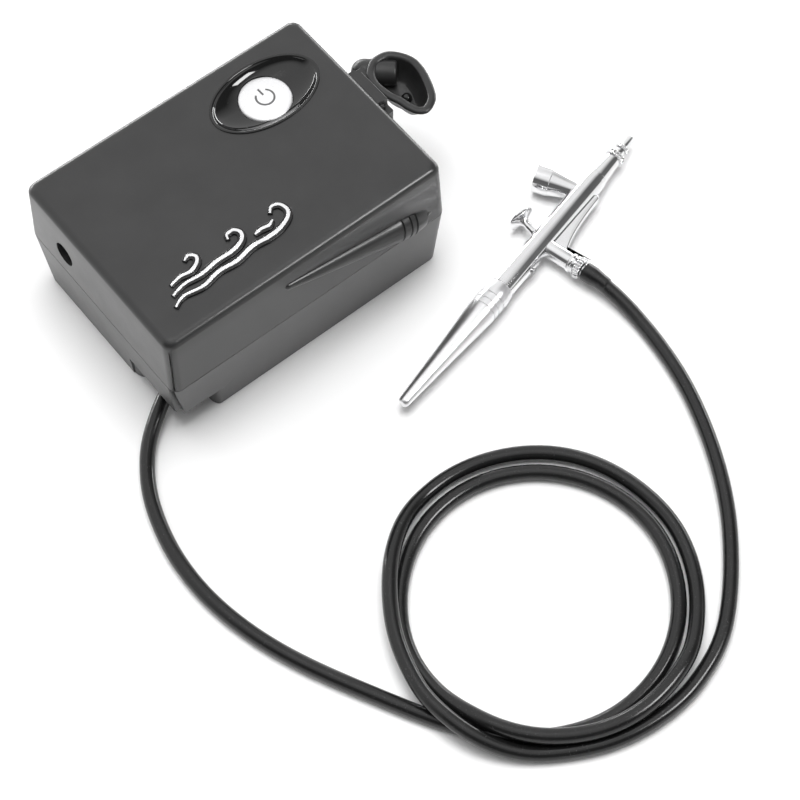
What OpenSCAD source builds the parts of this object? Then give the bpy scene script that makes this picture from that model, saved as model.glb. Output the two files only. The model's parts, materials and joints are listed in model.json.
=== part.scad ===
// Airbrush compressor: a small two-piece case with a diaphragm pump, its air hose and a gravity-feed airbrush.
// Millimetres, +Z up. The origin is on the underside of the base, at the middle of the case.

/* [Case] */
// Length of the case at the seam
case_l = 130; // [128:1:134]
// Width of the case at the seam
case_w = 94; // [93:1:97]
// Height of the case
case_h = 62; // [62:0.5:64]
// Height of the seam between the base and the cover
seam_z = 32; // [31.5:0.5:32.5]
// Wall thickness of the mouldings
wall = 2; // [1.8:0.1:2.2]
// Lean of the cover's walls, from the seam to the top
cover_lean = 1.4; // [1:0.1:1.8]
// Lean of the base's walls, from the seam to the underside
base_lean = 2; // [1.5:0.1:2.2]
// Rounding of the case's upright corners
corner_r = 4; // [3:0.5:5]
// Rounding of the cover's top edge
edge_r = 2; // [1.5:0.1:2.4]

/* [Switch] */
// Half length of the oval bowl round the button
bowl_a = 24; // [23:0.5:25]
// Half width of the oval bowl
bowl_b = 15; // [14.5:0.1:15.5]
// Radius of the button
button_r = 10.5; // [10:0.1:10.6]
// Travel of the button
button_travel = 1.6; // [1.2:0.1:1.8]

/* [Pump] */
// Radius of the motor can
motor_r = 14; // [13:0.5:14]
// Throw of the eccentric
throw_e = 1.2; // [0.8:0.1:1.2]
// Radius of the eccentric's disc
disc_r = 5; // [4.5:0.1:5]
// Side of the square pump head
head_w = 28; // [28:0.5:29]

/* [Hose] */
// Outer diameter of the hose
hose_d = 6; // [5:0.5:6]
// Inner radius of the coil of hose
coil_in = 48; // [47:0.5:49]
// Outer radius of the coil of hose
coil_out = 64.5; // [64:0.5:66]

/* [Airbrush] */
// Angle of the airbrush on the table, from the case's long side
brush_angle = 14; // [12:1:16]
// Radius of the airbrush's tube
tube_r = 5; // [4.8:0.1:5]
// Largest radius of the handle
handle_r = 5.9; // [5.6:0.1:6]
// Radius of the paint cup's rim
cup_r = 6.2; // [6:0.1:6.4]
// Lean of the paint cup towards the handle
cup_lean = 14.5; // [10:0.5:18]
// Needle's travel when the trigger is pulled right back
needle_travel = 2.4; // [2:0.1:2.6]

/* [Hidden] */
$fn = 64;

e = 0.01;

// Cover and base
cover_l = case_l - 2 * cover_lean;
cover_w = case_w - 2 * cover_lean;
base_l = case_l - 2 * base_lean;
base_w = case_w - 2 * base_lean;
roof_z = case_h - wall;
screw_at = [[-56, -37, 12], [-56, 37, 0], [56, -37, 0], [56, 37, 0]];

// Raised corner of the base, where the hose leaves
notch_x = -47;
notch_y = -19;
notch_z = 12;
hose_y = -28;
hose_z = 6.5;
hose_r = hose_d / 2;

// Switch, below the bowl
bowl_x = 32;
bowl_y = 23;
button_z = 58.8;
switch_z = 38.6;
switch_top = 49;

// Inlet on the left wall
inlet_y = 22;
inlet_z = 44;

// Motor and pump
shaft_y = 8;
shaft_z = 18;
shaft_r = 1.6;
ring_r = disc_r + 2 * throw_e + 0.3;
shelf_z = 36;
seal_z = 40;
valve_z = 42.6;
head_z = 44.6;
pump_screw_d = head_w / 2 - 2.6;
pump_screw_at = [for (sx = [-1, 1], sy = [-1, 1]) [sx * pump_screw_d, shaft_y + sy * pump_screw_d]];

// Route of the hose: from the gland to the coil, then from the coil to the airbrush
supply_path = [
    [-50, -28, 6.5], [-55, -29, 6.5], [-60, -31, 6], [-65, -34, 5.5], [-71, -38, 4.5], [-78, -43.5, 3.5],
    [-84, -51, 3], [-90, -61, 3], [-94, -72.5, 3], [-97, -85, 3], [-98, -98, 3], [-97.5, -111, 3], [-95, -125, 3],
    [-91, -139, 3], [-85, -154, 3], [-77, -170, 3], [-70.5, -183, 3], [-66.5, -191.5, 3], [-62.5, -199, 3]
];
lead_path = [
    [22, -243.5, 3], [29, -241.5, 3], [37, -238, 3], [46, -232, 3], [58, -221.5, 3], [69, -209, 3],
    [78, -196, 3], [86, -183, 3], [92.5, -169, 3], [97.5, -155, 3], [101, -141, 3], [103.5, -127, 3],
    [104, -116.5, 3], [103.5, -107, 4.5], [102.5, -99, 6], [101, -92.5, 6], [100.5, -90, 6]
];
coil_centre = [-2, -185, 0];
coil_h = 2 * hose_d + 0.4;

// Tube inside the case, from the pump's outlet to the gland
inner_path = [
    [0, -12, 48.5], [0, -15.5, 48.5], [-3, -21, 47.5], [-10, -28, 43], [-17, -32, 36], [-23, -33.5, 28],
    [-28, -32.5, 19], [-32, -30, 11], [-36, -28.5, 7], [-38.5, -28, 6.5], [-41, -28, 6.5]
];

// Pair of wires, from the motor's end cap to the circuit board
wire_path = [
    [-50.5, 18, 20], [-52.5, 18, 20], [-54, 18.5, 22], [-54, 20, 28], [-51, 24, 34.5], [-42, 27, 37.5],
    [-20, 27.5, 38], [5, 27.5, 38], [16, 27.5, 38]
];

// Rod across the top of the holder's bracket, which carries the cup
boss_from = [75.2, 16.8, 46.2];
boss_to = [85.1, 8.3, 46.2];
boss_r = 5.2;

// Airbrush, measured along its own axis from the end of the handle
brush_at = [7, -91.5, 6.2];
handle_end = 65;
body_end = 131;
flat_from = 88;
flat_to = 114;
valve_u = 91.3;
trigger_u = 93;
trigger_v = 2;
trigger_lean = 16;
// Trigger's pin, measured up the leaning stem
hub_d = 1.75;
hub_u = hub_d * sin(trigger_lean);
hub_v = trigger_v + hub_d * cos(trigger_lean);
cup_u = 121.3;
rest_u = 93.5;

/* Helpers */

// A point on an upright rounded corner column: radius r, rounded over by t at the top
module corner_column(r, z, t) {
    translate([0, 0, z - t - e])
        for (a = [0, 30, 60, 90])
            translate([0, 0, t * sin(a)]) cylinder(h = e, r = r - t * (1 - cos(a)), $fn = 32);
}

// Rounded box with leaning walls. Its lower outline is l0 by w0 at z0, its upper one l1 by w1 at z1
module leaning_box(l0, w0, z0, l1, w1, z1, r, t) {
    hull()
        for (sx = [-1, 1], sy = [-1, 1]) {
            translate([sx * (l0 / 2 - r), sy * (w0 / 2 - r), z0]) cylinder(h = e, r = r, $fn = 32);
            translate([sx * (l1 / 2 - r), sy * (w1 / 2 - r), 0]) corner_column(r, z1, t);
        }
}

// Ellipse with half axes a and b
module oval(a, b, n = 64) {
    polygon([for (k = [0:n - 1]) [a * cos(360 * k / n), b * sin(360 * k / n)]]);
}

// Round rod from p to q, with its two radii
module rod(p, q, r1, r2) {
    d = q - p;
    translate(p)
        rotate([0, acos(d[2] / norm(d)), atan2(d[1], d[0])])
            cylinder(h = norm(d), r1 = r1, r2 = r2);
}

function unit(v) = v / norm(v);
function heading(path, i) = unit(path[min(i + 1, len(path) - 1)] - path[max(i - 1, 0)]);
function ring_of(p, d, r, n) =
    let (s = unit(cross(d, [0, 0, 1])), t = cross(s, d))
    [for (k = [0:n - 1]) p + r * (cos(360 * k / n) * s + sin(360 * k / n) * t)];

// Tube of n sides swept along a path
module swept_tube(path, r, n = 10) {
    m = len(path);
    points = [for (i = [0:m - 1]) each ring_of(path[i], heading(path, i), r, n)];
    sides = [for (i = [0:m - 2], k = [0:n - 1]) each [
        [i * n + k, (i + 1) * n + k, (i + 1) * n + (k + 1) % n],
        [i * n + k, (i + 1) * n + (k + 1) % n, i * n + (k + 1) % n]
    ]];
    first = [for (k = [0:n - 1]) k];
    last = [for (k = [0:n - 1]) m * n - 1 - k];
    polyhedron(points = points, faces = concat([first], [last], sides));
}

// Places a child along the airbrush's axis: X runs from the handle to the nozzle, Y to the trigger's side
module on_brush(u = 0) {
    translate(brush_at) rotate([0, 0, brush_angle]) translate([u, 0, 0]) children();
}

// Turned piece on the airbrush's axis, from a profile of [distance along the axis, radius]
module turned(profile) {
    rotate([0, 90, 0]) rotate_extrude() polygon([for (p = profile) [p[1], p[0]]]);
}

// Knurled ring: a drum with flutes cut round its rim, along X
module knurled(r, h, flutes = 18) {
    rotate([0, 90, 0]) difference() {
        cylinder(h = h, r = r);
        for (k = [0:flutes - 1])
            rotate([0, 0, 360 * k / flutes]) translate([r, 0, -e])
                cylinder(h = h + 2 * e, r = r * 0.07, $fn = 16);
    }
}

/* Case */

// Half relief of an airbrush along the long wall, cut level with the seam
module wall_relief() {
    tip = [-10, -45.4, 51.3];
    ring = [44, -43.4, 39];
    step = (ring - tip) / norm(ring - tip);
    intersection() {
        union() {
            rod(tip, ring, 1.7, 6.9);
            translate(tip) sphere(r = 1.7);
            for (k = [0:2]) rod(ring + step * 2.5 * k, ring + step * (2.5 * k + 1.8), 6.9, 6.9);
            rod(ring, ring + step * 7.5, 6.4, 6.4);
            rod(ring + step * 7.5, ring + step * 15, 6.9, 5.6);
            rod(ring + step * 14.5 + [0, -0.9, 1], ring + step * 18.5 + [0, -0.9, 1.5], 3.2, 3);
        }
        translate([-20, -60, seam_z + 0.1]) cube([84, 60 - 45.2, 28]);
    }
}

// T rail on the right wall that the holder slides down
module holder_rail() {
    translate([case_l / 2 - 2.2, -2, seam_z + 6]) cube([3.8, 10, 15.5]);
    translate([case_l / 2 + 1.6, -5, seam_z + 6]) cube([1.6, 16, 15.5]);
}

module top_cover() {
    color("#2b2b2d") difference() {
        union() {
            difference() {
                leaning_box(case_l, case_w, seam_z, cover_l, cover_w, case_h, corner_r, edge_r);
                leaning_box(case_l - 2 * wall, case_w - 2 * wall, seam_z - 1, cover_l - 2 * wall,
                    cover_w - 2 * wall, roof_z, corner_r - 1, 1);
            }
            wall_relief();
            holder_rail();
            for (p = screw_at) translate([p[0], p[1], seam_z]) cylinder(h = roof_z - seam_z + 1, r = 3.5);
        }
        translate([bowl_x, bowl_y, roof_z - 1]) linear_extrude(wall + 2) oval(bowl_a - 0.6, bowl_b - 0.6);
        translate([-case_l / 2 - 2, inlet_y, inlet_z]) rotate([0, 90, 0]) cylinder(h = 6, r = 5);
        for (p = screw_at) translate([p[0], p[1], seam_z - 1]) cylinder(h = 12, r = 1.25);
    }
}

// Block cut away under the raised corner, larger by g, with the deep part's two ends rounded
module corner_block(g) {
    translate([-case_l, -case_w, -1]) cube([case_l + notch_x + g, case_w + notch_y + g, notch_z + 1 + g]);
}

module deep_end_rounding() {
    r = 5;
    difference() {
        translate([notch_x - e, -case_w, -1]) cube([r, case_w - base_w / 2 + r - 0.4, notch_z + 1]);
        translate([notch_x + r, -base_w / 2 + r - 0.6, -2]) cylinder(h = notch_z + 3, r = r);
    }
    difference() {
        translate([-case_l, notch_y - e, -1]) cube([case_l - base_l / 2 + r - 0.4, r, notch_z + 1]);
        translate([-base_l / 2 + r - 0.6, notch_y + r, -2]) cylinder(h = notch_z + 3, r = r);
    }
}

module base_tray() {
    color("#2f2f31") difference() {
        union() {
            difference() {
                leaning_box(base_l, base_w, 0, case_l, case_w, seam_z, corner_r, 0.1);
                difference() {
                    leaning_box(base_l - 2 * wall, base_w - 2 * wall, wall, case_l - 2 * wall, case_w - 2 * wall,
                        seam_z + 1, corner_r - 1, 0.1);
                    corner_block(wall);
                }
            }
            for (p = screw_at) translate([p[0], p[1], p[2] + 0.5]) cylinder(h = seam_z - p[2] - 0.5, r = 4);
        }
        corner_block(0);
        deep_end_rounding();
        // Recess inside the rim that the case stands on
        difference() {
            translate([-58, -41, -1]) cube([116, 82, 2]);
            translate([-case_l, -case_w, -2]) cube([case_l + notch_x + 4, case_w + notch_y + 4, 5]);
        }
        // Slot in the corner, above the hose
        translate([-case_l / 2 - 1, -45.6, notch_z - 1]) cube([5, 2.6, seam_z - notch_z]);
        // Hole for the hose's gland
        translate([notch_x - 1, hose_y, hose_z]) rotate([0, 90, 0]) cylinder(h = wall + 2, r = 4);
        for (p = screw_at) translate([p[0], p[1], p[2]]) {
            translate([0, 0, -1]) cylinder(h = seam_z + 2, r = 1.6);
            translate([0, 0, -1]) cylinder(h = 4, r = 3.2);
        }
    }
}

module rubber_feet() {
    color("#1c1c1c")
        for (p = [[46, -29], [46, 29], [-46, 29], [-34, -29]])
            translate([p[0], p[1], 0]) cylinder(h = 1, r = 6);
}

module case_screws() {
    color("#8d8f92")
        for (p = screw_at) translate([p[0], p[1], p[2] + 1]) difference() {
            union() {
                cylinder(h = 2, r = 2.8);
                cylinder(h = 34 - p[2], r = 1.25);
            }
            translate([0, 0, -e]) cylinder(h = 1.2, r = 1.2, $fn = 6);
        }
}

/* Switch */

module bowl_bezel() {
    color("#0d0d0e") translate([bowl_x, bowl_y, 0]) difference() {
        union() {
            translate([0, 0, case_h]) linear_extrude(0.6) oval(bowl_a, bowl_b);
            translate([0, 0, 56]) linear_extrude(case_h - 56 + e) oval(bowl_a - 0.7, bowl_b - 0.7);
            translate([0, 0, 51.5]) cylinder(h = 5, r = button_r + 1.8);
            for (sx = [-1, 1], sy = [-1, 1])
                translate([sx * 13.5, sy * 8.5, switch_z]) cylinder(h = 56.5 - switch_z, r = 1.8);
        }
        translate([0, 0, 63.5]) scale([bowl_a - 1.4, bowl_b - 1.4, 6.5]) sphere(r = 1, $fn = 48);
        translate([0, 0, 50]) cylinder(h = 14, r = button_r + 0.3);
    }
}

module power_button() {
    color("#c9cbce") translate([bowl_x, bowl_y, 0]) rotate_extrude()
        polygon([
            [0, switch_top + 2.2], [2.2, switch_top + 2.2], [2.2, 56.4], [button_r - 1.4, 56.4],
            [button_r - 1.4, 53.4], [button_r, 53.4], [button_r, button_z - 0.5], [button_r - 0.5, button_z],
            [button_r * 0.75, button_z + 0.45], [button_r * 0.5, button_z + 0.8], [button_r * 0.25, button_z + 1],
            [0, button_z + 1.05]
        ]);
}

module button_spring() {
    color("#b9bcc0") translate([bowl_x, bowl_y, switch_top]) difference() {
        cylinder(h = 56.4 - switch_top, r = 4.4);
        translate([0, 0, -1]) cylinder(h = 9.5, r = 3.6);
    }
}

module switch_body() {
    color("#202124") translate([bowl_x, bowl_y, 0]) {
        translate([-6.5, -6.5, switch_z]) cube([13, 13, switch_top - switch_z]);
        translate([0, 0, switch_top - e]) cylinder(h = 0.4, r = 2);
    }
}

module circuit_board() {
    color("#2d5a35") translate([bowl_x, bowl_y, 0]) difference() {
        translate([-16, -11, switch_z - 1.6]) cube([32, 22, 1.6]);
        for (sx = [-1, 1], sy = [-1, 1])
            translate([sx * 13.5, sy * 8.5, switch_z - 2]) cylinder(h = 3, r = 0.9);
    }
}

/* Badge: three streams of air on a raised plate */

// Wavy band along X: half its width is g, and it tapers towards both ends
module stream(x0, x1, y, rise, g) {
    n = 28;
    mid = [for (k = [0:n]) [x0 + (x1 - x0) * k / n, y + rise * sin(360 * k / n + 200)]];
    half = [for (k = [0:n]) g * (0.35 + 0.65 * sin(180 * k / n))];
    polygon(concat([for (k = [0:n]) mid[k] + [0, half[k]]], [for (k = [n:-1:0]) mid[k] - [0, half[k]]]));
}

module streams(g) {
    stream(-50 - g, 4 + g, -27, 2.6, 1 + g);
    stream(-44 - g, -2 + g, -23, 2.2, 0.7 + g);
    stream(-38 - g, 6 + g, -31, 2, 0.7 + g);
    for (p = [[-52, -30], [7.5, -25], [-46, -19.5]]) translate(p) circle(r = 1.1 + g, $fn = 24);
}

module badge_plate() {
    color("#161617") translate([0, 0, case_h]) linear_extrude(0.9) streams(1.5);
}

module badge_trim() {
    color("#e6e7e9") translate([0, 0, case_h + 0.9]) linear_extrude(0.5) streams(0);
}

/* Inlet */

module dc_socket() {
    x = -case_l / 2 + 1.2;
    color("#0b0b0c") translate([x, inlet_y, inlet_z]) rotate([0, 90, 0]) {
        difference() {
            union() {
                cylinder(h = 3, r = 5);
                translate([0, 0, 1.7]) cylinder(h = 12, r = 6);
            }
            translate([0, 0, -1]) cylinder(h = 11, r = 2.9);
        }
        translate([0, 0, 2]) cylinder(h = 9, r = 1);
    }
}

/* Holder */

module holder_bracket() {
    x = case_l / 2;
    color("#232325") difference() {
        union() {
            translate([x + 0.2, -8, seam_z + 8]) cube([5.2, 24.5, 15.5]);
            holder_lug();
        }
        // Channel that slides down the T rail
        translate([x, -2.4, seam_z]) cube([1.9, 10.8, seam_z - 10.5]);
        translate([x + 1.3, -5.4, seam_z]) cube([2.2, 16.8, seam_z - 10.5]);
        // Steps at the two ends of its top
        translate([x - 1, -13, 51]) cube([8, 9, 10]);
        translate([x - 1, 11.8, 52]) cube([8, 9, 10]);
        boss_solid();
    }
}

// Block between the bracket and the rod
module holder_lug() {
    translate([case_l / 2 + 5, 9, 41.5]) cube([3.4, 7.5, 9.5]);
}

// Round-ended rod that carries the cup
module boss_solid() {
    d = boss_to - boss_from;
    dome = [for (a = [0:15:75]) [boss_r * sin(a), -boss_r * cos(a)]];
    translate(boss_from) rotate([0, 90, atan2(d[1], d[0])]) rotate_extrude()
        polygon(concat(dome, [[boss_r, 0], [boss_r, norm(d) - 0.8], [boss_r - 0.8, norm(d)], [0, norm(d)]]));
}

module holder_boss() {
    color("#333335") boss_solid();
}

// Outline of the cup at one level: a large circle of radius ra and a small one of radius rb
module cup_level(z, ra, rb) {
    translate([81.7, 6, z]) cylinder(h = e, r = ra, $fn = 48);
    translate([81, -10.2, z]) cylinder(h = e, r = rb, $fn = 48);
}

module holder_cup() {
    color("#161617") difference() {
        hull() {
            cup_level(40.3, 5.5, 2.5);
            cup_level(46, 9.3, 5);
            cup_level(50, 10.8, 6.6);
            cup_level(51.2, 11, 6.8);
            cup_level(52.2, 10.4, 6.2);
        }
        hull() {
            cup_level(42, 4, 1.2);
            cup_level(47, 6.8, 3);
            cup_level(52.8, 7.8, 3.6);
        }
        boss_solid();
        holder_lug();
    }
}

/* Motor and pump */

module motor_can() {
    color("#a3a6aa") translate([-48, shaft_y, shaft_z]) rotate([0, 90, 0]) difference() {
        union() {
            cylinder(h = 36, r = motor_r);
            translate([0, 0, 35]) cylinder(h = 3, r = 4);
        }
        translate([0, 0, -1]) cylinder(h = 35, r = motor_r - 1);
        cylinder(h = 40, r = shaft_r + 0.06);
    }
}

module motor_end_cap() {
    color("#e8e6df") translate([-50.5, shaft_y, shaft_z]) rotate([0, 90, 0]) difference() {
        union() {
            cylinder(h = 2.5, r = motor_r);
            translate([0, 0, 2.4]) cylinder(h = 2.5, r = motor_r - 1.05);
        }
        translate([0, 0, 1]) cylinder(h = 6, r = shaft_r + 0.06);
    }
}

module motor_magnets() {
    color("#3a3a3d") translate([-42, shaft_y, shaft_z]) rotate([0, 90, 0]) difference() {
        cylinder(h = 24, r = motor_r - 1);
        translate([0, 0, -1]) cylinder(h = 26, r = motor_r - 2.8);
        translate([-20, -1.5, -1]) cube([40, 3, 26]);
    }
}

module motor_rotor() {
    color("#b87333") translate([0, shaft_y, shaft_z]) rotate([0, 90, 0]) {
        translate([0, 0, -49.3]) cylinder(h = 53.6, r = shaft_r);
        translate([0, 0, -41]) cylinder(h = 22, r = motor_r - 3.6);
        translate([0, 0, -45]) cylinder(h = 4.5, r = 4.5);
    }
}

module motor_cradle() {
    color("#38383b")
        for (x = [-45, -23]) difference() {
            translate([x, shaft_y - 12, wall]) cube([6, 24, 10]);
            translate([x - 1, shaft_y, shaft_z]) rotate([0, 90, 0]) cylinder(h = 8, r = motor_r);
        }
}

module eccentric() {
    color("#9b9da1") translate([0, shaft_y, shaft_z]) rotate([0, 90, 0]) difference() {
        union() {
            translate([-throw_e, 0, -2.8]) cylinder(h = 5.6, r = disc_r);
            translate([0, 0, -8.4]) cylinder(h = 5.7, r = 3.6);
            intersection() {
                translate([0, 0, -8.4]) cylinder(h = 4.4, r = 8);
                translate([1, -10, -9]) cube([10, 20, 10]);
            }
        }
        translate([0, 0, -10]) cylinder(h = 20, r = shaft_r);
    }
}

module connecting_rod() {
    color("#e9e9e4") translate([0, shaft_y, 0]) {
        translate([-2.5, 0, shaft_z]) rotate([0, 90, 0]) difference() {
            cylinder(h = 5, r = ring_r + 2);
            translate([0, 0, -1]) cylinder(h = 7, r = ring_r);
        }
        translate([0, 0, shaft_z + ring_r + 1]) cylinder(h = seal_z - 1 - shaft_z - ring_r - 1, r = 2.4);
        translate([0, 0, seal_z - 2]) cylinder(h = 1.5, r = 6.5);
    }
}

module diaphragm() {
    color("#1e1e20") translate([0, shaft_y, seal_z - 0.5]) cylinder(h = 1.4, r = 9.2);
}

module pump_frame() {
    color("#4a4b4f") translate([0, shaft_y, 0]) difference() {
        union() {
            translate([-12, -head_w / 2, wall]) cube([3, head_w, seal_z - wall]);
            translate([-12, -head_w / 2, shelf_z]) cube([12 + head_w / 2, head_w, seal_z - shelf_z]);
            translate([-12, -head_w / 2, wall]) cube([12 + head_w / 2, head_w, 2]);
        }
        translate([0, 0, shelf_z - 1]) cylinder(h = 6, r = 10);
        translate([-13, 0, shaft_z]) rotate([0, 90, 0]) cylinder(h = 5, r = 4.1);
        for (p = pump_screw_at) translate([p[0], p[1] - shaft_y, shelf_z - 1]) cylinder(h = 6, r = 1.25);
    }
}

// Square plate under the pump head, drilled for its screws and for a round chamber
module head_plate(z, h, chamber_r) {
    difference() {
        translate([-head_w / 2, shaft_y - head_w / 2, z]) cube([head_w, head_w, h]);
        if (chamber_r > 0) translate([0, shaft_y, z - 1]) cylinder(h = h + 2, r = chamber_r);
        for (p = pump_screw_at) translate([p[0], p[1], z - 1]) cylinder(h = h + 2, r = 1.4);
    }
}

module diaphragm_seal() {
    color("#262628") head_plate(seal_z, valve_z - seal_z, 10);
}

module valve_plate() {
    color("#d8d5cc") difference() {
        head_plate(valve_z, head_z - valve_z, 0);
        for (y = [-4, 4]) translate([0, shaft_y + y, valve_z - 1]) cylinder(h = 4, r = 1.2);
    }
}

module pump_head() {
    color("#5a5c61") difference() {
        union() {
            head_plate(head_z, 8.4, 0);
            translate([0, shaft_y - head_w / 2 + 1, 48.5]) rotate([90, 0, 0]) cylinder(h = 7, r = 2.2);
        }
        translate([-8, shaft_y - 8, head_z - 1]) cube([16, 7, 6]);
        translate([-8, shaft_y + 1, head_z - 1]) cube([16, 7, 6]);
        translate([0, shaft_y - 3, 48.5]) rotate([90, 0, 0]) cylinder(h = 20, r = 1.2);
        translate([0, shaft_y + 4.5, head_z + 4]) cylinder(h = 6, r = 1.2);
    }
}

module pump_screws() {
    color("#9a9ca0")
        for (p = pump_screw_at) translate([p[0], p[1], 0]) {
            translate([0, 0, shelf_z + 0.5]) cylinder(h = 17, r = 1.25);
            translate([0, 0, 53]) cylinder(h = 1.8, r = 2.4);
        }
}

module inner_tube() {
    color("#8f969c") swept_tube(inner_path, 2.6, 8);
}

module wiring() {
    color("#a02020")
        for (s = [-1, 1])
            swept_tube([for (p = wire_path) p + [0, 1.5 * s, 0]], 0.8, 8);
}

/* Hose */

module hose_gland() {
    color("#18181a") translate([-50, hose_y, hose_z]) rotate([0, 90, 0]) {
        cylinder(h = 1.6, r1 = 4, r2 = 5);
        translate([0, 0, 1.5]) cylinder(h = 1.5, r = 5.2);
        translate([0, 0, 2.9]) cylinder(h = 3.6, r = 4);
        translate([0, 0, 6.4]) cylinder(h = 2.6, r = 2.6);
    }
}

module hose_supply() {
    color("#101012") swept_tube(supply_path, hose_r);
}

module hose_coil() {
    color("#141416") translate(coil_centre) rotate_extrude($fn = 96)
        polygon([
            [coil_in, 0.8], [coil_in + 0.8, 0], [coil_out - 0.8, 0], [coil_out, 0.8], [coil_out, hose_d],
            [coil_out - 4, coil_h], [coil_in + 4, coil_h], [coil_in, hose_d]
        ]);
}

module hose_lead() {
    color("#101012") swept_tube(lead_path, hose_r);
}

/* Airbrush */

// Places a child on the air valve's axis: Z points from the valve's end back to the tube
module on_valve(v) {
    on_brush(valve_u) translate([0, v, 0]) rotate([-90, 0, 0]) children();
}

module hose_barb() {
    color("#d4d6d9") on_valve(-24) difference() {
        union() {
            cylinder(h = 4, r = 2.2);
            translate([0, 0, 2]) cylinder(h = 1.2, r1 = 2.4, r2 = 2.8);
            translate([0, 0, 3.9]) cylinder(h = 2.9, r = 2.5);
        }
        translate([0, 0, -1]) cylinder(h = 9, r = 1);
    }
}

module hose_nut() {
    color("#cdd0d3") on_valve(-20.6) difference() {
        rotate([0, -90, 0]) knurled(4.6, 3.2, 20);
        translate([0, 0, -1]) cylinder(h = 6, r = 2.6);
    }
}

module valve_body() {
    color("#d7d9dc") on_valve(-17.2) difference() {
        union() {
            cylinder(h = 14.2, r = 3.5);
            translate([0, 0, 0.6]) cylinder(h = 1.4, r = 4.1);
        }
        translate([0, 0, -1]) cylinder(h = 18, r = 1.6);
        translate([-10, 0, 17.2]) rotate([0, 90, 0]) cylinder(h = 20, r = tube_r);
    }
}

module valve_plunger() {
    color("#b9bcc0") on_valve(-10) {
        cylinder(h = 8.5, r = 0.7);
        cylinder(h = 1.2, r = 1.4);
    }
}

module valve_spring() {
    color("#b0b3b7") on_valve(-16) difference() {
        cylinder(h = 5.9, r = 1.4);
        translate([0, 0, -1]) cylinder(h = 8, r = 0.9);
    }
}

module airbrush_body() {
    color("#d9dbde") on_brush() difference() {
        union() {
            turned([[46, 0], [46, 3.9], [handle_end, 3.9], [handle_end, tube_r], [128, tube_r], [129.2, 4.7],
                [body_end, 4.5], [body_end, 0]]);
        }
        // Needle's channel
        translate([45, 0, 0]) rotate([0, 90, 0]) cylinder(h = 90, r = 1.1);
        translate([45, 0, 0]) rotate([0, 90, 0]) cylinder(h = 42, r = 1.7);
        translate([56, 0, 0]) rotate([0, 90, 0]) cylinder(h = 31, r = 2.9);
        // Flat seat round the trigger, and the slot that it rocks in
        translate([flat_from, 3.7, -6]) cube([12, 4, 12]);
        translate([flat_from + 14, 4.1, -6]) cube([flat_to - flat_from - 14, 4, 12]);
        translate([trigger_u - 4, -2.8, -1.6]) cube([9, 9, 3.2]);
        // Bore of the air valve
        translate([valve_u, 0, 0]) rotate([90, 0, 0]) cylinder(h = 6, r = 1.2);
        translate([79, -7, 0]) rotate([-90, 0, 0]) cylinder(h = 3.8, r = 1.2);
        // Way down from the paint cup
        translate([cup_u, 0, 0]) rotate([-90, 0, 0]) cylinder(h = 7, r = 0.8);
    }
}

// Curved rest for the finger, on the valve's side of the tube
module finger_rest() {
    arc = [for (a = [0:10:90]) [122 - 28.5 * sin(a), -6.4 - 5.6 * (1 - cos(a))]];
    color("#cfd2d5") on_brush() difference() {
        translate([0, 0, -1.7]) linear_extrude(3.4)
            polygon(concat([[rest_u, -4], [121, -4.4], [122.6, -4.9], [122.9, -5.6]], arc));
        translate([valve_u, 0, 0]) rotate([90, 0, 0]) cylinder(h = 20, r = 3.5);
        rotate([0, 90, 0]) cylinder(h = 140, r = tube_r);
    }
}

module set_screw() {
    color("#6d7074") on_brush(79) translate([0, -5.7, 0]) rotate([-90, 0, 0]) difference() {
        cylinder(h = 2.5, r = 1.2);
        translate([0, 0, -e]) cylinder(h = 0.8, r = 0.6, $fn = 6);
    }
}

module paint_cup() {
    color("#dcdee0") difference() {
        on_brush(cup_u) rotate([-90, 0, 0]) rotate([0, -cup_lean, 0]) difference() {
            union() {
                translate([0, 0, 14]) cylinder(h = 6, r = cup_r);
                translate([0, 0, 2]) cylinder(h = 12 + e, r1 = 3.7, r2 = cup_r - 0.4);
            }
            translate([0, 0, 14]) cylinder(h = 7, r = cup_r - 0.7);
            translate([0, 0, 7]) cylinder(h = 7 + e, r1 = 1.2, r2 = cup_r - 0.7);
            translate([0, 0, 1]) cylinder(h = 8, r = 0.8);
        }
        on_brush() rotate([0, 90, 0]) cylinder(h = 140, r = tube_r);
    }
}

// Forked post under the trigger: the needle passes between its legs, and two cheeks hold the trigger's pin
module trigger_post() {
    color("#b4b7bb") on_brush(trigger_u) difference() {
        union() {
            translate([-1.4, -1.2, -1.35]) cube([3.1, 4.8, 2.7]);
            translate([hub_u, hub_v, -1.35]) cylinder(h = 2.7, r = 1.3);
        }
        translate([-2, -2, -0.85]) cube([5, 3.97, 1.7]);
        translate([-2, hub_v - 1.05, -0.7]) cube([5, 4, 1.4]);
        translate([hub_u, hub_v, -2]) cylinder(h = 4, r = 0.45);
    }
}

// Trigger: a tongue with a pin through it, a stem and a dished pad
module trigger() {
    color("#c4c7ca") on_brush(trigger_u) translate([0, trigger_v, 0]) rotate([0, 0, -trigger_lean]) {
        translate([0, hub_d, -0.6]) cylinder(h = 1.2, r = 0.95);
        translate([0, hub_d, -1.3]) cylinder(h = 2.6, r = 0.4);
        translate([-0.7, hub_d, -0.6]) cube([1.4, 1.6, 1.2]);
        translate([0, hub_d + 1.4, 0]) rotate([-90, 0, 0]) cylinder(h = 7.45, r = 1.35);
        translate([0, 9.3, 0]) rotate([-90, 0, 0]) cylinder(h = 1.3, r1 = 1.4, r2 = 4);
        translate([0, 10.5, 0]) rotate([-90, 0, 0]) difference() {
            cylinder(h = 1.7, r = 5.9);
            translate([0, 0, 16.4]) sphere(r = 15.6);
        }
    }
}

module needle() {
    color("#e3e4e6") on_brush() turned([[30, 0], [30, 0.75], [136, 0.75], [151, 0.1], [151, 0]]);
}

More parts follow.
